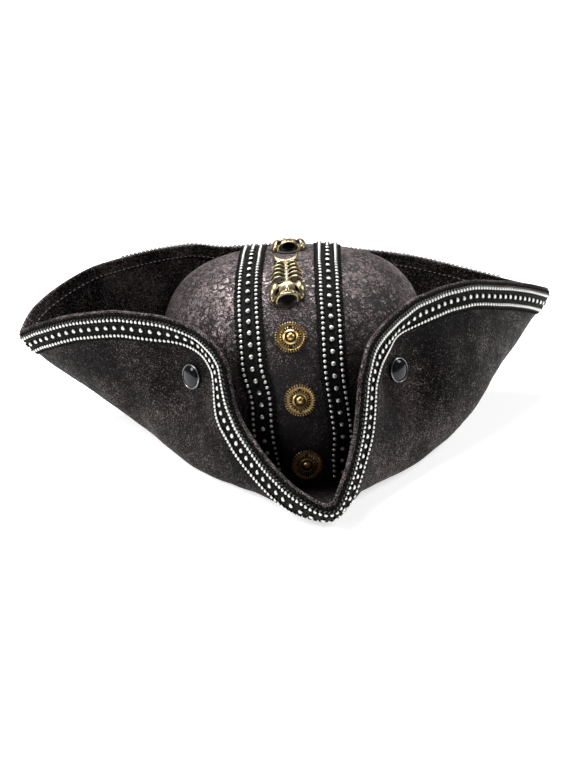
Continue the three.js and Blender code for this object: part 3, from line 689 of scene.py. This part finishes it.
# across in mm from the ribbon's middle and height over the leather
RIBBON_SECTION = (
    (-7.6, 0.1), (-7.7, 0.6), (-7.4, 1.1), (-7.0, 1.25), (-6.6, 1.1), (-6.4, 0.8), (-5.8, 0.75), (-5.2, 0.75),
    (-4.6, 0.8), (-4.1, 0.95), (-3.7, 1.3), (-3.2, 1.4), (-2.7, 1.25), (-2.4, 0.9), (-1.6, 0.85), (-0.8, 0.9),
    (0, 0.9), (0.8, 0.9), (1.6, 0.85), (2.4, 0.9), (2.7, 1.25), (3.2, 1.4), (3.7, 1.3), (4.1, 0.95),
    (4.6, 0.8), (5.2, 0.75), (5.8, 0.75), (6.4, 0.8), (6.6, 1.1), (7.0, 1.25), (7.4, 1.1), (7.7, 0.6),
    (7.6, 0.1), (0, 0.1),
)


def woven():
    """Black woven thread: a fine diagonal weave that follows the ribbon"""
    f = Finish("black_weave")
    uv = f.add("UVMap").outputs[0]
    run, across = (f.add("SeparateXYZ", Vector=uv).outputs[n] for n in (0, 1))
    slants = [f.sum(f.sum(run, across, way), WEAVE_TURNS, "MULTIPLY") for way in ("ADD", "SUBTRACT")]
    twill, counter = (f.add("Math", {"operation": "SINE"}, i0=slant) for slant in slants)
    threads = f.sum(twill, counter, "MAXIMUM")
    fuzz = f.grain(3000, 2)
    tone = f.blend(f.ramp(threads, 0.1, 1.0), (0.0008, 0.0008, 0.0009), (0.006, 0.006, 0.0062))
    tone = f.blend(f.ramp(f.grain(1250, 1), 0.56, 0.68, 0, 0.6), tone, (0.045, 0.043, 0.04))
    height = f.sum(threads, fuzz)
    return f.done(Base_Color=tone, Roughness=f.ramp(fuzz, 0.3, 0.7, 0.6, 0.85), Specular_IOR_Level=0.12,
                  Normal=f.relief(height, 0.00022, 0.8))


def silver():
    """Bright silver plate, a little dull in patches, with painted shade: black over the lower part of each
    bead and stud
    """
    f = Finish("silver_plate")
    spots = f.grain(900, 3)
    tone = f.blend(f.ramp(spots, 0.4, 0.7), (0.80, 0.79, 0.76), (0.66, 0.65, 0.62))
    # painted shade: each copy is black below about two thirds of its height, so that only its top shows as
    # lit silver
    tone = f.blend(f.ramp(f.stored("rise"), 0.66, 0.88, 1, 0), tone, (0.012, 0.012, 0.012))
    return f.done(Base_Color=tone, Metallic=1.0, Roughness=f.ramp(spots, 0.3, 0.7, 0.27, 0.35))


weave = woven()
plate = silver()


def picked(row, at):
    """Points on a row at fractional places of it"""
    i = np.floor(at).astype(int)
    after = (i + 1) % len(row)
    return row[i % len(row)] + (row[after] - row[i % len(row)]) * (at - i)[:, None]


def laid(surface, across, lift, pitch, closed):
    """Places, directions and normals at an even pitch along a ribbon"""
    row = surface(across, lift)
    run = np.concatenate([[0], np.cumsum(np.diff(along(row, closed)) / pitch)])
    count = max(int(round(run[-1])), 1)
    at = np.interp((np.arange(count) + 0.5) * run[-1] / count, run, np.arange(len(run)))
    if not closed:
        at = np.clip(at, 0.5, len(row) - 1.51)
    places = picked(row, at)
    forwards = unit(picked(row, at + 0.5) - picked(row, at - 0.5))
    return places, forwards, unit(picked(surface(across, 1), at) - picked(surface(across, 0), at))


def stamped(name, pattern, places, forwards, normals, swing=0):
    """Many copies of one small mesh, each with its X along the row and its Z off the surface"""
    sides = unit(np.cross(normals, forwards))
    forwards = np.cross(sides, normals)
    if swing:
        slant = math.radians(swing)
        forwards, sides = (forwards * math.cos(slant) + sides * math.sin(slant),
                           sides * math.cos(slant) - forwards * math.sin(slant))
    turns = np.stack([forwards, sides, normals], -1)
    base = points_of(pattern.data)
    points = placed((turns[:, None] @ (base / MM)[None, :, :, None])[..., 0] + places[:, None])
    faces = [list(face.vertices) for face in pattern.data.polygons]
    count = len(base)
    mesh = bpy.data.meshes.new(name)
    mesh.from_pydata(points.reshape(-1, 3), [],
                     [[v + k * count for v in face] for k in range(len(places)) for face in faces])
    rise = np.tile((base[:, 2] - base[:, 2].min()) / np.ptp(base[:, 2]), len(places))
    store(mesh, "rise", rise)
    obj = bpy.data.objects.new(name, mesh)
    bpy.context.scene.collection.objects.link(obj)
    return smooth(obj)


def ball(name, segments, rings, radius):
    deselect()
    bpy.ops.mesh.primitive_uv_sphere_add(segments=segments, ring_count=rings, radius=radius * MM)
    return named(bpy.context.object, name)


# One bead, one stud, one picot and one stitch are modelled once and copied along the ribbons
bead = ball("bead_pattern", 10, 7, BEAD / 2)
stud = ball("stud_pattern", 14, 9, STUD / 2)
set_points(stud.data, points_of(stud.data) * (1, 1, STUD_FLATNESS))
deselect()
bpy.ops.mesh.primitive_torus_add(major_segments=10, minor_segments=5, major_radius=PICOT_RADIUS * MM,
                                 minor_radius=PICOT_CORD * MM)
picot = named(bpy.context.object, "picot_pattern")
stitch = ball("stitch_pattern", 8, 7, 1)
set_points(stitch.data, points_of(stitch.data) * STITCH_HALF_SIZES)


def dressed(name, surface, closed, node, first_picot, last_picot, gather=1):
    """A whole ribbon over a surface: the woven band, its beads, its studs and its picot edges"""
    band = lofted(name, [surface(across, lift) for across, lift in RIBBON_SECTION], True, closed)
    if not closed:
        opened(band)
        bpy.ops.mesh.select_all(action="DESELECT")
        bpy.ops.mesh.select_non_manifold(extend=False)
        bpy.ops.mesh.fill_holes(sides=0)
        bpy.ops.object.mode_set(mode="OBJECT")
        tidy_mesh(band)
    smooth(band, 70)
    finish_piece(band, weave, "woven_ribbon", node)
    rows = (
        ("beads_outer", bead, plate, -BEAD_ROW, BEAD_LIFT, BEAD_PITCH * gather),
        ("beads_inner", bead, plate, BEAD_ROW, BEAD_LIFT, BEAD_PITCH * gather),
        ("studs", stud, plate, 0, STUD_LIFT, STUD_PITCH * gather),
        ("picots_outer", picot, weave, first_picot, PICOT_LIFT, PICOT_PITCH),
        ("picots_inner", picot, weave, last_picot, PICOT_LIFT, PICOT_PITCH),
    )
    for row, pattern, material, across, lift, pitch in rows:
        copies = stamped(f"{name}_{row}", pattern, *laid(surface, across, lift, pitch, closed))
        finish_piece(copies, material, "woven_ribbon")


def over_brim(across, lift):
    return on_brim(RIBBON_MIDDLE + across, lift, 2)


# how closely the ribbon is gathered on the way round: angle and share of its own pitch
GATHER_ROWS = (
    (-165, 1), (-107, 0.92), (-70, 0.9), (-40, 0.68), (-30, 0.66), (-14, 0.85), (0, 0.97), (10, 0.75),
    (24, 0.68), (50, 0.85), (106, 0.92), (150, 1),
)
gathered = curve_through(GATHER_ROWS, 1, 360)(station_turns[::2])
dressed("brim_ribbon", over_brim, True, "brim_trim", -8.2, 8.0, gathered)

# Two of the same ribbons run over the crown from foot to foot.
# angle over the top from the front, then half the distance apart and the sway to the wearer's left, both as
# shares of CROWN_WIDTH
BAND_ROWS = (
    (0, 0.25, -0.05), (9, 0.26, -0.065), (19, 0.28, -0.07), (31, 0.28, -0.09), (44, 0.305, -0.125),
    (58, 0.31, -0.115), (90, 0.29, -0.01), (180, 0.29, 0),
)
# the same angle, then how far in mm the left and the right ribbon lie to the wearer's left of those places
SWAYS = (
    (0, 0, 0), (12, -0.6, 0), (22, -0.9, -0.2), (31, 0.5, -0.4), (39, 1.1, -0.7), (49, 1.4, -0.6),
    (59, 1.2, -0.3), (70, -0.4, -0.6), (80, -1.7, -1.3), (88, -1.0, -0.4), (95, 1.3, 1.5), (104, 3.6, 3.9),
    (112, 4.3, 4.8), (180, 0, 0),
)
BAND_OVERS = np.linspace(1.5, 178.5, 280)
band_apart = curve_through(BAND_ROWS, 1)
band_sway = curve_through(BAND_ROWS, 2)
for name, side, node in (("band_left", -1, "crown_band_left"), ("band_right", 1, "crown_band_right")):
    middle = CROWN_WIDTH * (band_sway(BAND_OVERS) + side * band_apart(BAND_OVERS))
    middle = middle + curve_through(SWAYS, 1 if side < 0 else 2)(BAND_OVERS)

    def over_crown(across, lift, middle=middle):
        return crown_lifted(middle + across, BAND_OVERS, np.full(len(BAND_OVERS), lift))

    dressed(name, over_crown, False, node, -8.0, 8.0)

# The hem is held by a row of pale stitches on the inner face, and the ribbon by grey slanted ones just under
# the edge on the outer face.
def thread(name, dark, pale):
    """Waxed sewing thread with a slight twist"""
    f = Finish(name)
    fibres = f.grain(2600, 2)
    return f.done(Base_Color=f.blend(f.ramp(fibres, 0.35, 0.65), dark, pale), Roughness=0.6,
                  Normal=f.relief(fibres, 0.0001, 0.6))


def inside_brim(across, lift):
    return on_brim(across, -HEM - lift, 2)


# name, surface, place across it, lift, pitch and swing, then the thread with its dark and its pale tone
STITCH_ROWS = (
    ("hem_stitches", inside_brim, 7.3, 0.05, 3.7, 0, "pale_thread", (0.22, 0.21, 0.20), (0.52, 0.49, 0.47)),
    ("edge_stitches", over_brim, -7.0, 1.3, 2.9, 38, "grey_thread", (0.03, 0.03, 0.032), (0.17, 0.165, 0.16)),
)
for name, surface, across, lift, pitch, swing, finish, dark, pale in STITCH_ROWS:
    copies = stamped(name, stitch, *laid(surface, across, lift, pitch, True), swing)
    finish_piece(copies, thread(finish, dark, pale), "woven_ribbon")

# Behind the side points the ribbon is sewn right up to the edge, so that a row of picots stands over it.
BACK_PICOT = -11.0
BACK_PICOT_LIFT = -1.2
# the row's limits in mm: how far back it starts, and how far to each side it reaches
BACK_START = 45
BACK_SIDES = (-112, 160)
places, forwards, normals = laid(over_brim, BACK_PICOT, BACK_PICOT_LIFT, PICOT_PITCH, True)
behind = (places[:, 1] > BACK_START) & (places[:, 0] > BACK_SIDES[0]) & (places[:, 0] < BACK_SIDES[1])
back_picots = stamped("back_picots", picot, places[behind], forwards[behind], normals[behind])
finish_piece(back_picots, weave, "woven_ribbon")

# The buttons are cast antique brass: a disc with a toothed rim, a ring of rays, a raised ring and a domed
# boss, sewn on through two small holes.
BUTTON_DIAMETER = 20.5
BUTTON_SEGMENTS = 216
BUTTON_TEETH = 36
BUTTON_RAYS = 24
BUTTON_HOLE = 0.75
BUTTON_HOLE_PLACE = 7.0
BUTTON_SINK = 0.35
TOOTH_START = 8.3
TOOTH_DEPTH = 0.75
TOOTH_NOTCH = 0.12
RAY_SPAN = (5.2, 6.75)
RAY_DEPTH = 0.8
# radius and height of each ring over the leather, from the rim in to the middle
BUTTON_RINGS = (
    (BUTTON_DIAMETER / 2, 0.0), (BUTTON_DIAMETER / 2, 0.55), (10.1, 0.95), (9.8, 1.2), (9.3, 1.32),
    (8.8, 1.28), (8.45, 1.05), (8.2, 0.85), (7.6, 0.82), (6.9, 0.85), (6.6, 1.05), (6.3, 1.3), (5.8, 1.4),
    (5.4, 1.3), (5.1, 1.0), (4.8, 1.15), (4.3, 1.6), (4.0, 1.75), (3.7, 1.6), (3.5, 1.05), (3.2, 0.95),
    (2.9, 1.2), (2.7, 1.9), (2.3, 2.6), (1.7, 3.1), (1.0, 3.4), (0.4, 3.5),
)
BUTTON_ROWS = (("button_upper", 50), ("button_middle", 30.3), ("button_lower", 7.5))


def hollowness(mesh, rounds):
    """How deep each corner lies under the mean of its surroundings, in tenths of a millimetre"""
    points = points_of(mesh)
    ends = np.empty(len(mesh.edges) * 2, np.int32)
    mesh.edges.foreach_get("vertices", ends)
    a, b = ends.reshape(-1, 2).T
    count = np.maximum(np.bincount(np.concatenate([a, b]), minlength=len(points)), 1)[:, None]
    mean = points.copy()
    for _ in range(rounds):
        total = np.zeros_like(mean)
        np.add.at(total, a, mean[b])
        np.add.at(total, b, mean[a])
        mean = total / count
    normals = np.empty(len(points) * 3, np.float32)
    mesh.vertices.foreach_get("normal", normals)
    depth = ((mean - points) * normals.reshape(-1, 3)).sum(-1) / MM * 10
    return depth.astype(np.float32)


def antique_brass(name, polished, worn, first_patina):
    """Cast brass: polished on the high spots, brown patina in the hollows, black at the deepest places, which
    in the fishes' mouths is painted shade
    """
    f = Finish(name)
    depth = f.stored("hollow")
    mottle = f.grain(700, 3, 0.65)
    patina = f.ramp(f.sum(depth, f.sum(mottle, 1.6, "MULTIPLY")), first_patina, first_patina + 1.7)
    # black at the deepest places: patina in the buttons' slots, painted shade in the fishes' mouths
    black_patina_and_shade = f.ramp(depth, 2.0, 3.6)
    tone = f.blend(f.ramp(mottle, 0.45, 0.7, 0, 0.6), polished, worn)
    tone = f.blend(patina, tone, (0.030, 0.020, 0.010))
    tone = f.blend(black_patina_and_shade, tone, (0.0015, 0.0013, 0.0012))
    return f.done(Base_Color=tone, Metallic=f.ramp(patina, 0.2, 1.0, 1.0, 0.5),
                  Roughness=f.ramp(patina, 0.0, 1.0, 0.32, 0.65), Normal=f.relief(mottle, 0.00015, 0.6))


pale_brass = antique_brass("pale_brass", (0.40, 0.33, 0.20), (0.20, 0.16, 0.09), 0.1)
gold_brass = antique_brass("gold_brass", (0.54, 0.375, 0.16), (0.32, 0.215, 0.09), 1.0)


def turned_rings(name, rings, segments):
    """A circle primitive raised ring by ring with extrude and scale, then closed at its middle"""
    deselect()
    bpy.ops.mesh.primitive_circle_add(vertices=segments, radius=rings[0][0] * MM, fill_type="NGON",
                                      location=(0, 0, rings[0][1] * MM))
    obj = named(bpy.context.object, name)
    bpy.ops.object.transform_apply(location=True)
    opened(obj)
    for (radius, height), (after, top) in zip(rings, rings[1:]):
        share = after / radius
        bpy.ops.mesh.extrude_region_move(TRANSFORM_OT_translate={"value": (0, 0, (top - height) * MM)})
        bpy.ops.transform.resize(value=(share, share, 1), center_override=(0, 0, top * MM))
    bpy.ops.mesh.poke()
    bpy.ops.object.mode_set(mode="OBJECT")
    return tidy_mesh(obj, 1e-7)


def polar(points):
    return np.hypot(points[:, 0], points[:, 1]), np.arctan2(points[:, 1], points[:, 0])


button = turned_rings("button_pattern", BUTTON_RINGS, BUTTON_SEGMENTS)
disc = points_of(button.data) / MM
radius, turn = polar(disc)
tooth = np.clip(0.15 - 1.1 * np.cos(BUTTON_TEETH * turn), 0, 1)
ray = np.clip(0.5 - 0.9 * np.cos(BUTTON_RAYS * turn), 0, 1)
rim = (radius > TOOTH_START) & (disc[:, 2] > 0.3)
disc[rim, 2] -= TOOTH_DEPTH * tooth[rim] * np.clip((radius[rim] - TOOTH_START) / 0.4, 0, 1)
disc[:, :2] *= (1 - TOOTH_NOTCH * tooth * np.clip((radius - 9.0) / 1.2, 0, 1))[:, None]
rays = (radius > RAY_SPAN[0]) & (radius < RAY_SPAN[1])
disc[rays, 2] -= RAY_DEPTH * ray[rays]
set_points(button.data, disc * MM)
for side in (-1, 1):
    deselect()
    bpy.ops.mesh.primitive_cylinder_add(vertices=20, radius=BUTTON_HOLE * MM, depth=6 * MM,
                                        location=(0, side * BUTTON_HOLE_PLACE * MM, 0))
    drill = bpy.context.object
    hole = button.modifiers.new("hole", "BOOLEAN")
    hole.object = drill
    hole.operation = "DIFFERENCE"
    apply_all(button)
    bpy.data.objects.remove(drill)
# the patina is darkest in the slots between the teeth and between the rays
depth = hollowness(button.data, 14)
radius, turn = polar(points_of(button.data) / MM)
slots = np.where(radius > 8.6, np.clip(-4 * np.cos(BUTTON_TEETH * turn) - 1.2, 0, 1), 0)
between_rays = np.where((radius > 4.9) & (radius < 6.7), np.clip(-3 * np.cos(BUTTON_RAYS * turn), 0, 1), 0)
slots = np.maximum(slots, between_rays)
store(button.data, "hollow", depth * 0.5 + slots * 3)


def copy_of(pattern, name):
    obj = bpy.data.objects.new(name, pattern.data.copy())
    obj.data.name = name
    bpy.context.scene.collection.objects.link(obj)
    return obj


def stood(pattern, name, point, normal):
    """A copy of a flat pattern that stands on the surface with its Y axis up the surface"""
    up = unit(np.array([0, 0, 1.0]) - normal * normal[2])
    turn = np.stack([np.cross(up, normal), up, normal], -1)
    obj = copy_of(pattern, name)
    set_points(obj.data, placed((turn @ (points_of(pattern.data) / MM).T).T + point))
    return obj


for name, over in BUTTON_ROWS:
    aside = CROWN_WIDTH * band_sway(np.array([over]))
    normal = crown_normal(aside, np.array([over]))[0]
    point = crown_over(aside, np.array([over]))[0] - normal * BUTTON_SINK
    piece = stood(button, name + "_brass", point, normal)
    smooth(piece, 35)
    finish_piece(piece, gold_brass, "antique_brass", name)

# The two charms are cast antique brass fishbones: a skull with a gaping mouth, an arched ribcage on a knobbly
# spine and a crescent tail. Each is bent to the crown.
FISH_LENGTH = 56
# angle over the top at each charm's mouth, and how far aside its mouth and tail lie as shares of CROWN_WIDTH
FISH_ROWS = (("fish_front", 59, -0.12, -0.06), ("fish_rear", 87, -0.03, 0.06))
FISH_GRAIN = 0.30
# place, half sizes and turn of the skull's lumps and of its hollows; those off the middle are mirrored
SKULL_LUMPS = (
    ((0, 15.6, 1.4), (9.0, 6.4, 5.4), 0), ((7.8, 14.2, 1.4), (4.0, 6.9, 5.2), 6),
    ((0, 10.8, 2.0), (5.8, 3.6, 3.8), 0), ((0, 13.2, 5.3), (1.5, 3.8, 1.6), 0),
    ((4.6, 15.4, 4.2), (3.2, 1.9, 1.7), -20), ((0, 20.0, 1.6), (4.0, 2.8, 2.4), 0),
    # the flat plate under the mouth carries painted shadow
    ((8.7, 9.6, 1.2), (2.2, 3.5, 3.0), 18), ((0, 5.6, 0.5), (6.9, 4.7, 1.1), 0),
    ((0, 33, 0.0), (10.4, 15.0, 2.0), 0),
)
SKULL_HOLLOWS = (
    ((0, 5.4, 3.3), (5.7, 5.5, 2.8), 0), ((6.3, 11.0, 6.6), (0.95, 3.3, 3.2), 24),
    ((4.0, 17.8, 5.2), (2.3, 1.2, 2.6), -12), ((1.1, 10.4, 7.1), (0.5, 0.9, 0.9), 0),
)
# points and radii of the lip round the mouth, the spine and the tail
FISH_RODS = {
    "lip": (((-6.9, 5.2, 0.3), (-6.8, 6.2, 2.7), (-4.8, 7.5, 5.0), (0, 8.3, 6.2), (4.8, 7.5, 5.0),
             (6.8, 6.2, 2.7), (6.9, 5.2, 0.3)), (0.8, 0.95, 1.0, 1.0, 1.0, 0.95, 0.8)),
    "spine": (((0, 19, 1.8), (0, 30, 2.0), (0, 42, 1.8), (0, 47, 1.4)), (1.5, 1.2, 1.1, 1.3)),
    "tail": (((-7.4, 55.6, 3.4), (-7.8, 51.6, 2.9), (-4.4, 46.6, 1.9), (0, 45.4, 1.6), (4.4, 46.6, 1.9),
              (7.8, 51.6, 2.9), (7.4, 55.6, 3.4)), (0.6, 1.2, 1.6, 1.7, 1.6, 1.2, 0.6)),
}
# angle of each tooth along the lip
FISH_TEETH = (-66, -44, -22, 0, 22, 44, 66)
FISH_KNOBS = 8
# place along the spine and reach of each pair of ribs, then the path and radii of one with a reach of 1
FISH_RIBS = ((24.0, 10.2), (28.3, 10.2), (32.6, 9.8), (36.9, 9.0), (41.0, 7.8))
RIB_PATH = ((0.03, 0, 1.6), (0.25, 0.9, 3.0), (0.55, 1.3, 3.9), (0.82, 0.5, 3.2), (1.0, -1.4, 1.6))
RIB_RADII = (0.95, 1.0, 1.0, 0.95, 0.8)
# the backing is black up to this height: between the ribs, from a start to an end along the spine, and in the
# mouth, within a half width and before an end; in the mouth this black is painted shadow under the jaw
FISH_BLACK_HEIGHT = 2.5
RIBCAGE_SPAN = (21, 46)
MOUTH_SPAN = (6.6, 4.6)


def lump(place, half, swing):
    """A ball stretched to its half sizes and turned in its plane"""
    deselect()
    bpy.ops.mesh.primitive_uv_sphere_add(segments=28, ring_count=18, radius=MM, location=Vector(place) * MM,
                                         rotation=(0, 0, math.radians(swing)), scale=half)
    return bpy.context.object


def rod(points, radii):
    """A round cast bar along a smooth path"""
    path = bpy.data.curves.new("rod", "CURVE")
    path.dimensions = "3D"
    path.bevel_depth = MM
    path.bevel_resolution = 3
    path.use_fill_caps = True
    path.resolution_u = 6
    spline = path.splines.new("NURBS")
    spline.points.add(len(points) - 1)
    spline.use_endpoint_u = True
    spline.order_u = 3
    for knot, point, thickness in zip(spline.points, points, radii):
        knot.co = (*(Vector(point) * MM), 1)
        knot.radius = thickness
    obj = bpy.data.objects.new("rod", path)
    bpy.context.scene.collection.objects.link(obj)
    pick(obj)
    bpy.ops.object.convert(target="MESH")
    return bpy.context.object


def mirrored(rows):
    """Each row on its side, and each that lies off the middle on the other side too"""
    for (x, y, z), half, swing in rows:
        for side in (-1, 1) if x else (1,):
            yield (side * x, y, z), half, side * swing


def cast_together(parts, name):
    deselect()
    for part in parts:
        part.select_set(True)
    bpy.context.view_layer.objects.active = parts[0]
    bpy.ops.object.join()
    obj = named(bpy.context.object, name)
    bpy.ops.object.transform_apply(location=True, rotation=True, scale=True)
    return obj


def remeshed(obj):
    casting = obj.modifiers.new("casting", "REMESH")
    casting.mode = "VOXEL"
    casting.voxel_size = FISH_GRAIN * MM


parts = [lump(*row) for row in mirrored(SKULL_LUMPS)]
parts.append(rod(*FISH_RODS["lip"]))
for degrees in FISH_TEETH:
    turn = math.radians(degrees)
    place = (5.3 * math.sin(turn), 6.0 + 1.4 * math.cos(turn), 4.5 * math.cos(turn) + 0.1)
    parts.append(lump(place, (0.6, 0.7, 0.9), 0))
parts.append(rod(*FISH_RODS["spine"]))
for k in range(FISH_KNOBS):
    parts.append(lump((0, 22.5 + 3.1 * k, 2.3), (1.4, 1.05, 1.2), 0))
for place, reach in FISH_RIBS:
    for side, droop in ((-1, 1.0), (1, 0.7)):
        parts.append(rod([(side * reach * x, place + droop * y, z) for x, y, z in RIB_PATH], RIB_RADII))
parts.append(rod(*FISH_RODS["tail"]))
fish = cast_together(parts, "fish_pattern")
remeshed(fish)
apply_all(fish)
dies = cast_together([lump(*row) for row in mirrored(SKULL_HOLLOWS)], "fish_dies")
cut = fish.modifiers.new("cut", "BOOLEAN")
cut.object = dies
cut.operation = "DIFFERENCE"
cut.use_self = True
remeshed(fish)
rub = fish.modifiers.new("rub", "SMOOTH")
rub.factor = 0.5
rub.iterations = 2
apply_all(fish)
bpy.data.objects.remove(dies)
depth = hollowness(fish.data, 10)
flat = points_of(fish.data) / MM
flat[:, 2] = np.maximum(flat[:, 2], 0.05)
in_ribcage = (flat[:, 1] > RIBCAGE_SPAN[0]) & (flat[:, 1] < RIBCAGE_SPAN[1])
in_mouth = (abs(flat[:, 0]) < MOUTH_SPAN[0]) & (flat[:, 1] < MOUTH_SPAN[1])
black_patina_and_shade = np.where(in_ribcage | in_mouth, np.clip((FISH_BLACK_HEIGHT - flat[:, 2]) / 0.5, 0, 1), 0)
# the cut hollows are blackened as well; inside the open mouth this black is painted shade
for place, half, swing in mirrored(SKULL_HOLLOWS):
    turn = math.radians(swing)
    off = flat - place
    off = np.stack([off[:, 0] * math.cos(turn) + off[:, 1] * math.sin(turn),
                    off[:, 1] * math.cos(turn) - off[:, 0] * math.sin(turn), off[:, 2]], -1)
    black_patina_and_shade = np.maximum(black_patina_and_shade, np.clip((1.14 - np.linalg.norm(off / half, axis=-1)) / 0.1, 0, 1))
store(fish.data, "hollow", depth + black_patina_and_shade * 4)
for name, over, mouth_share, tail_share in FISH_ROWS:
    aside = CROWN_WIDTH * (mouth_share + (tail_share - mouth_share) * flat[:, 1] / FISH_LENGTH)
    bent = crown_lifted(aside + flat[:, 0], over + np.degrees(flat[:, 1] / CROWN_HEIGHT), flat[:, 2])
    piece = copy_of(fish, name + "_brass")
    set_points(piece.data, placed(bent))
    smooth(piece)
    finish_piece(piece, pale_brass, "antique_brass", name)

# The two snaps are press studs: a glossy black domed cap in a thin bright rim, on a post that runs through
# the brim and the crown to a plain washer inside.
SNAP_SEAT = 1
SNAP_SEGMENTS = 64
SNAP_CAP = 7.5
SNAP_REACH = SNAP_SEAT + 2 * LEATHER + 3 * SNAP_SLACK
# radius and height of each ring, from the washer by way of the post and the rim to the top of the cap
SNAP_RINGS = (
    (4.0, -SNAP_REACH - 1), (4.0, -SNAP_REACH - 0.1), (3.8, -SNAP_REACH), (2.0, -SNAP_REACH), (2.0, -0.75),
    (7.6, -0.75), (8.0, -0.6), (8.25, -0.25), (8.25, 0.15), (8.05, 0.5), (7.75, 0.62), (7.55, 0.5),
    (7.45, 0.55), (7.1, 0.95), (6.3, 1.5), (5.2, 1.95), (3.8, 2.3), (2.3, 2.5), (1.0, 2.58), (0.3, 2.6),
)
# how far down the wall its own height is looked up, in mm, and at how many places
SNAP_SEARCH = 140
SNAP_PLACES = 400


def enamel():
    """Black lacquer over metal, with a faint orange-peel"""
    f = Finish("black_lacquer")
    dust = f.grain(500, 2)
    tone = f.blend(f.ramp(dust, 0.4, 0.7), (0.004, 0.005, 0.007), (0.012, 0.013, 0.016))
    return f.done(Base_Color=tone, Roughness=f.ramp(dust, 0.3, 0.7, 0.06, 0.12), Specular_IOR_Level=0.25,
                  Normal=f.relief(f.grain(300, 1), 0.0001, 0.15))


def rim_metal():
    """The bare metal of the snap's rim, post and washer, slightly worn"""
    f = Finish("snap_metal")
    spots = f.grain(1100, 2)
    tone = f.blend(f.ramp(spots, 0.4, 0.7), (0.34, 0.34, 0.34), (0.18, 0.18, 0.18))
    return f.done(Base_Color=tone, Metallic=1.0, Roughness=f.ramp(spots, 0.3, 0.7, 0.22, 0.4))


snap = turned_rings("snap_pattern", SNAP_RINGS, SNAP_SEGMENTS)
lacquer = enamel()
bare = rim_metal()
for name, angle, height in SNAP_ROWS:
    spot = np.array([float(angle)])
    belows = np.linspace(0, SNAP_SEARCH, SNAP_PLACES)
    heights = section_at(np.full(SNAP_PLACES, float(angle)), belows)[:, 1]
    below = np.interp(-snap_level(height), -heights, belows)
    normal = brim_normal(spot, np.array([below]))[0]
    point = brim_at(spot, np.array([below]))[0] + normal * SNAP_SEAT
    piece = stood(snap, name + "_cap", point, normal)
    smooth(piece, 40)
    finish_piece(piece, lacquer, "black_enamel", name)
    piece.data.materials.append(bare)
    middles = np.array([face.center for face in snap.data.polygons]) / MM
    metal = (polar(middles)[0] > SNAP_CAP) | (middles[:, 2] < 0)
    piece.data.polygons.foreach_set("material_index", metal.astype(np.int32))

for pattern in (bead, stud, picot, stitch, button, fish, snap):
    bpy.data.objects.remove(pattern)
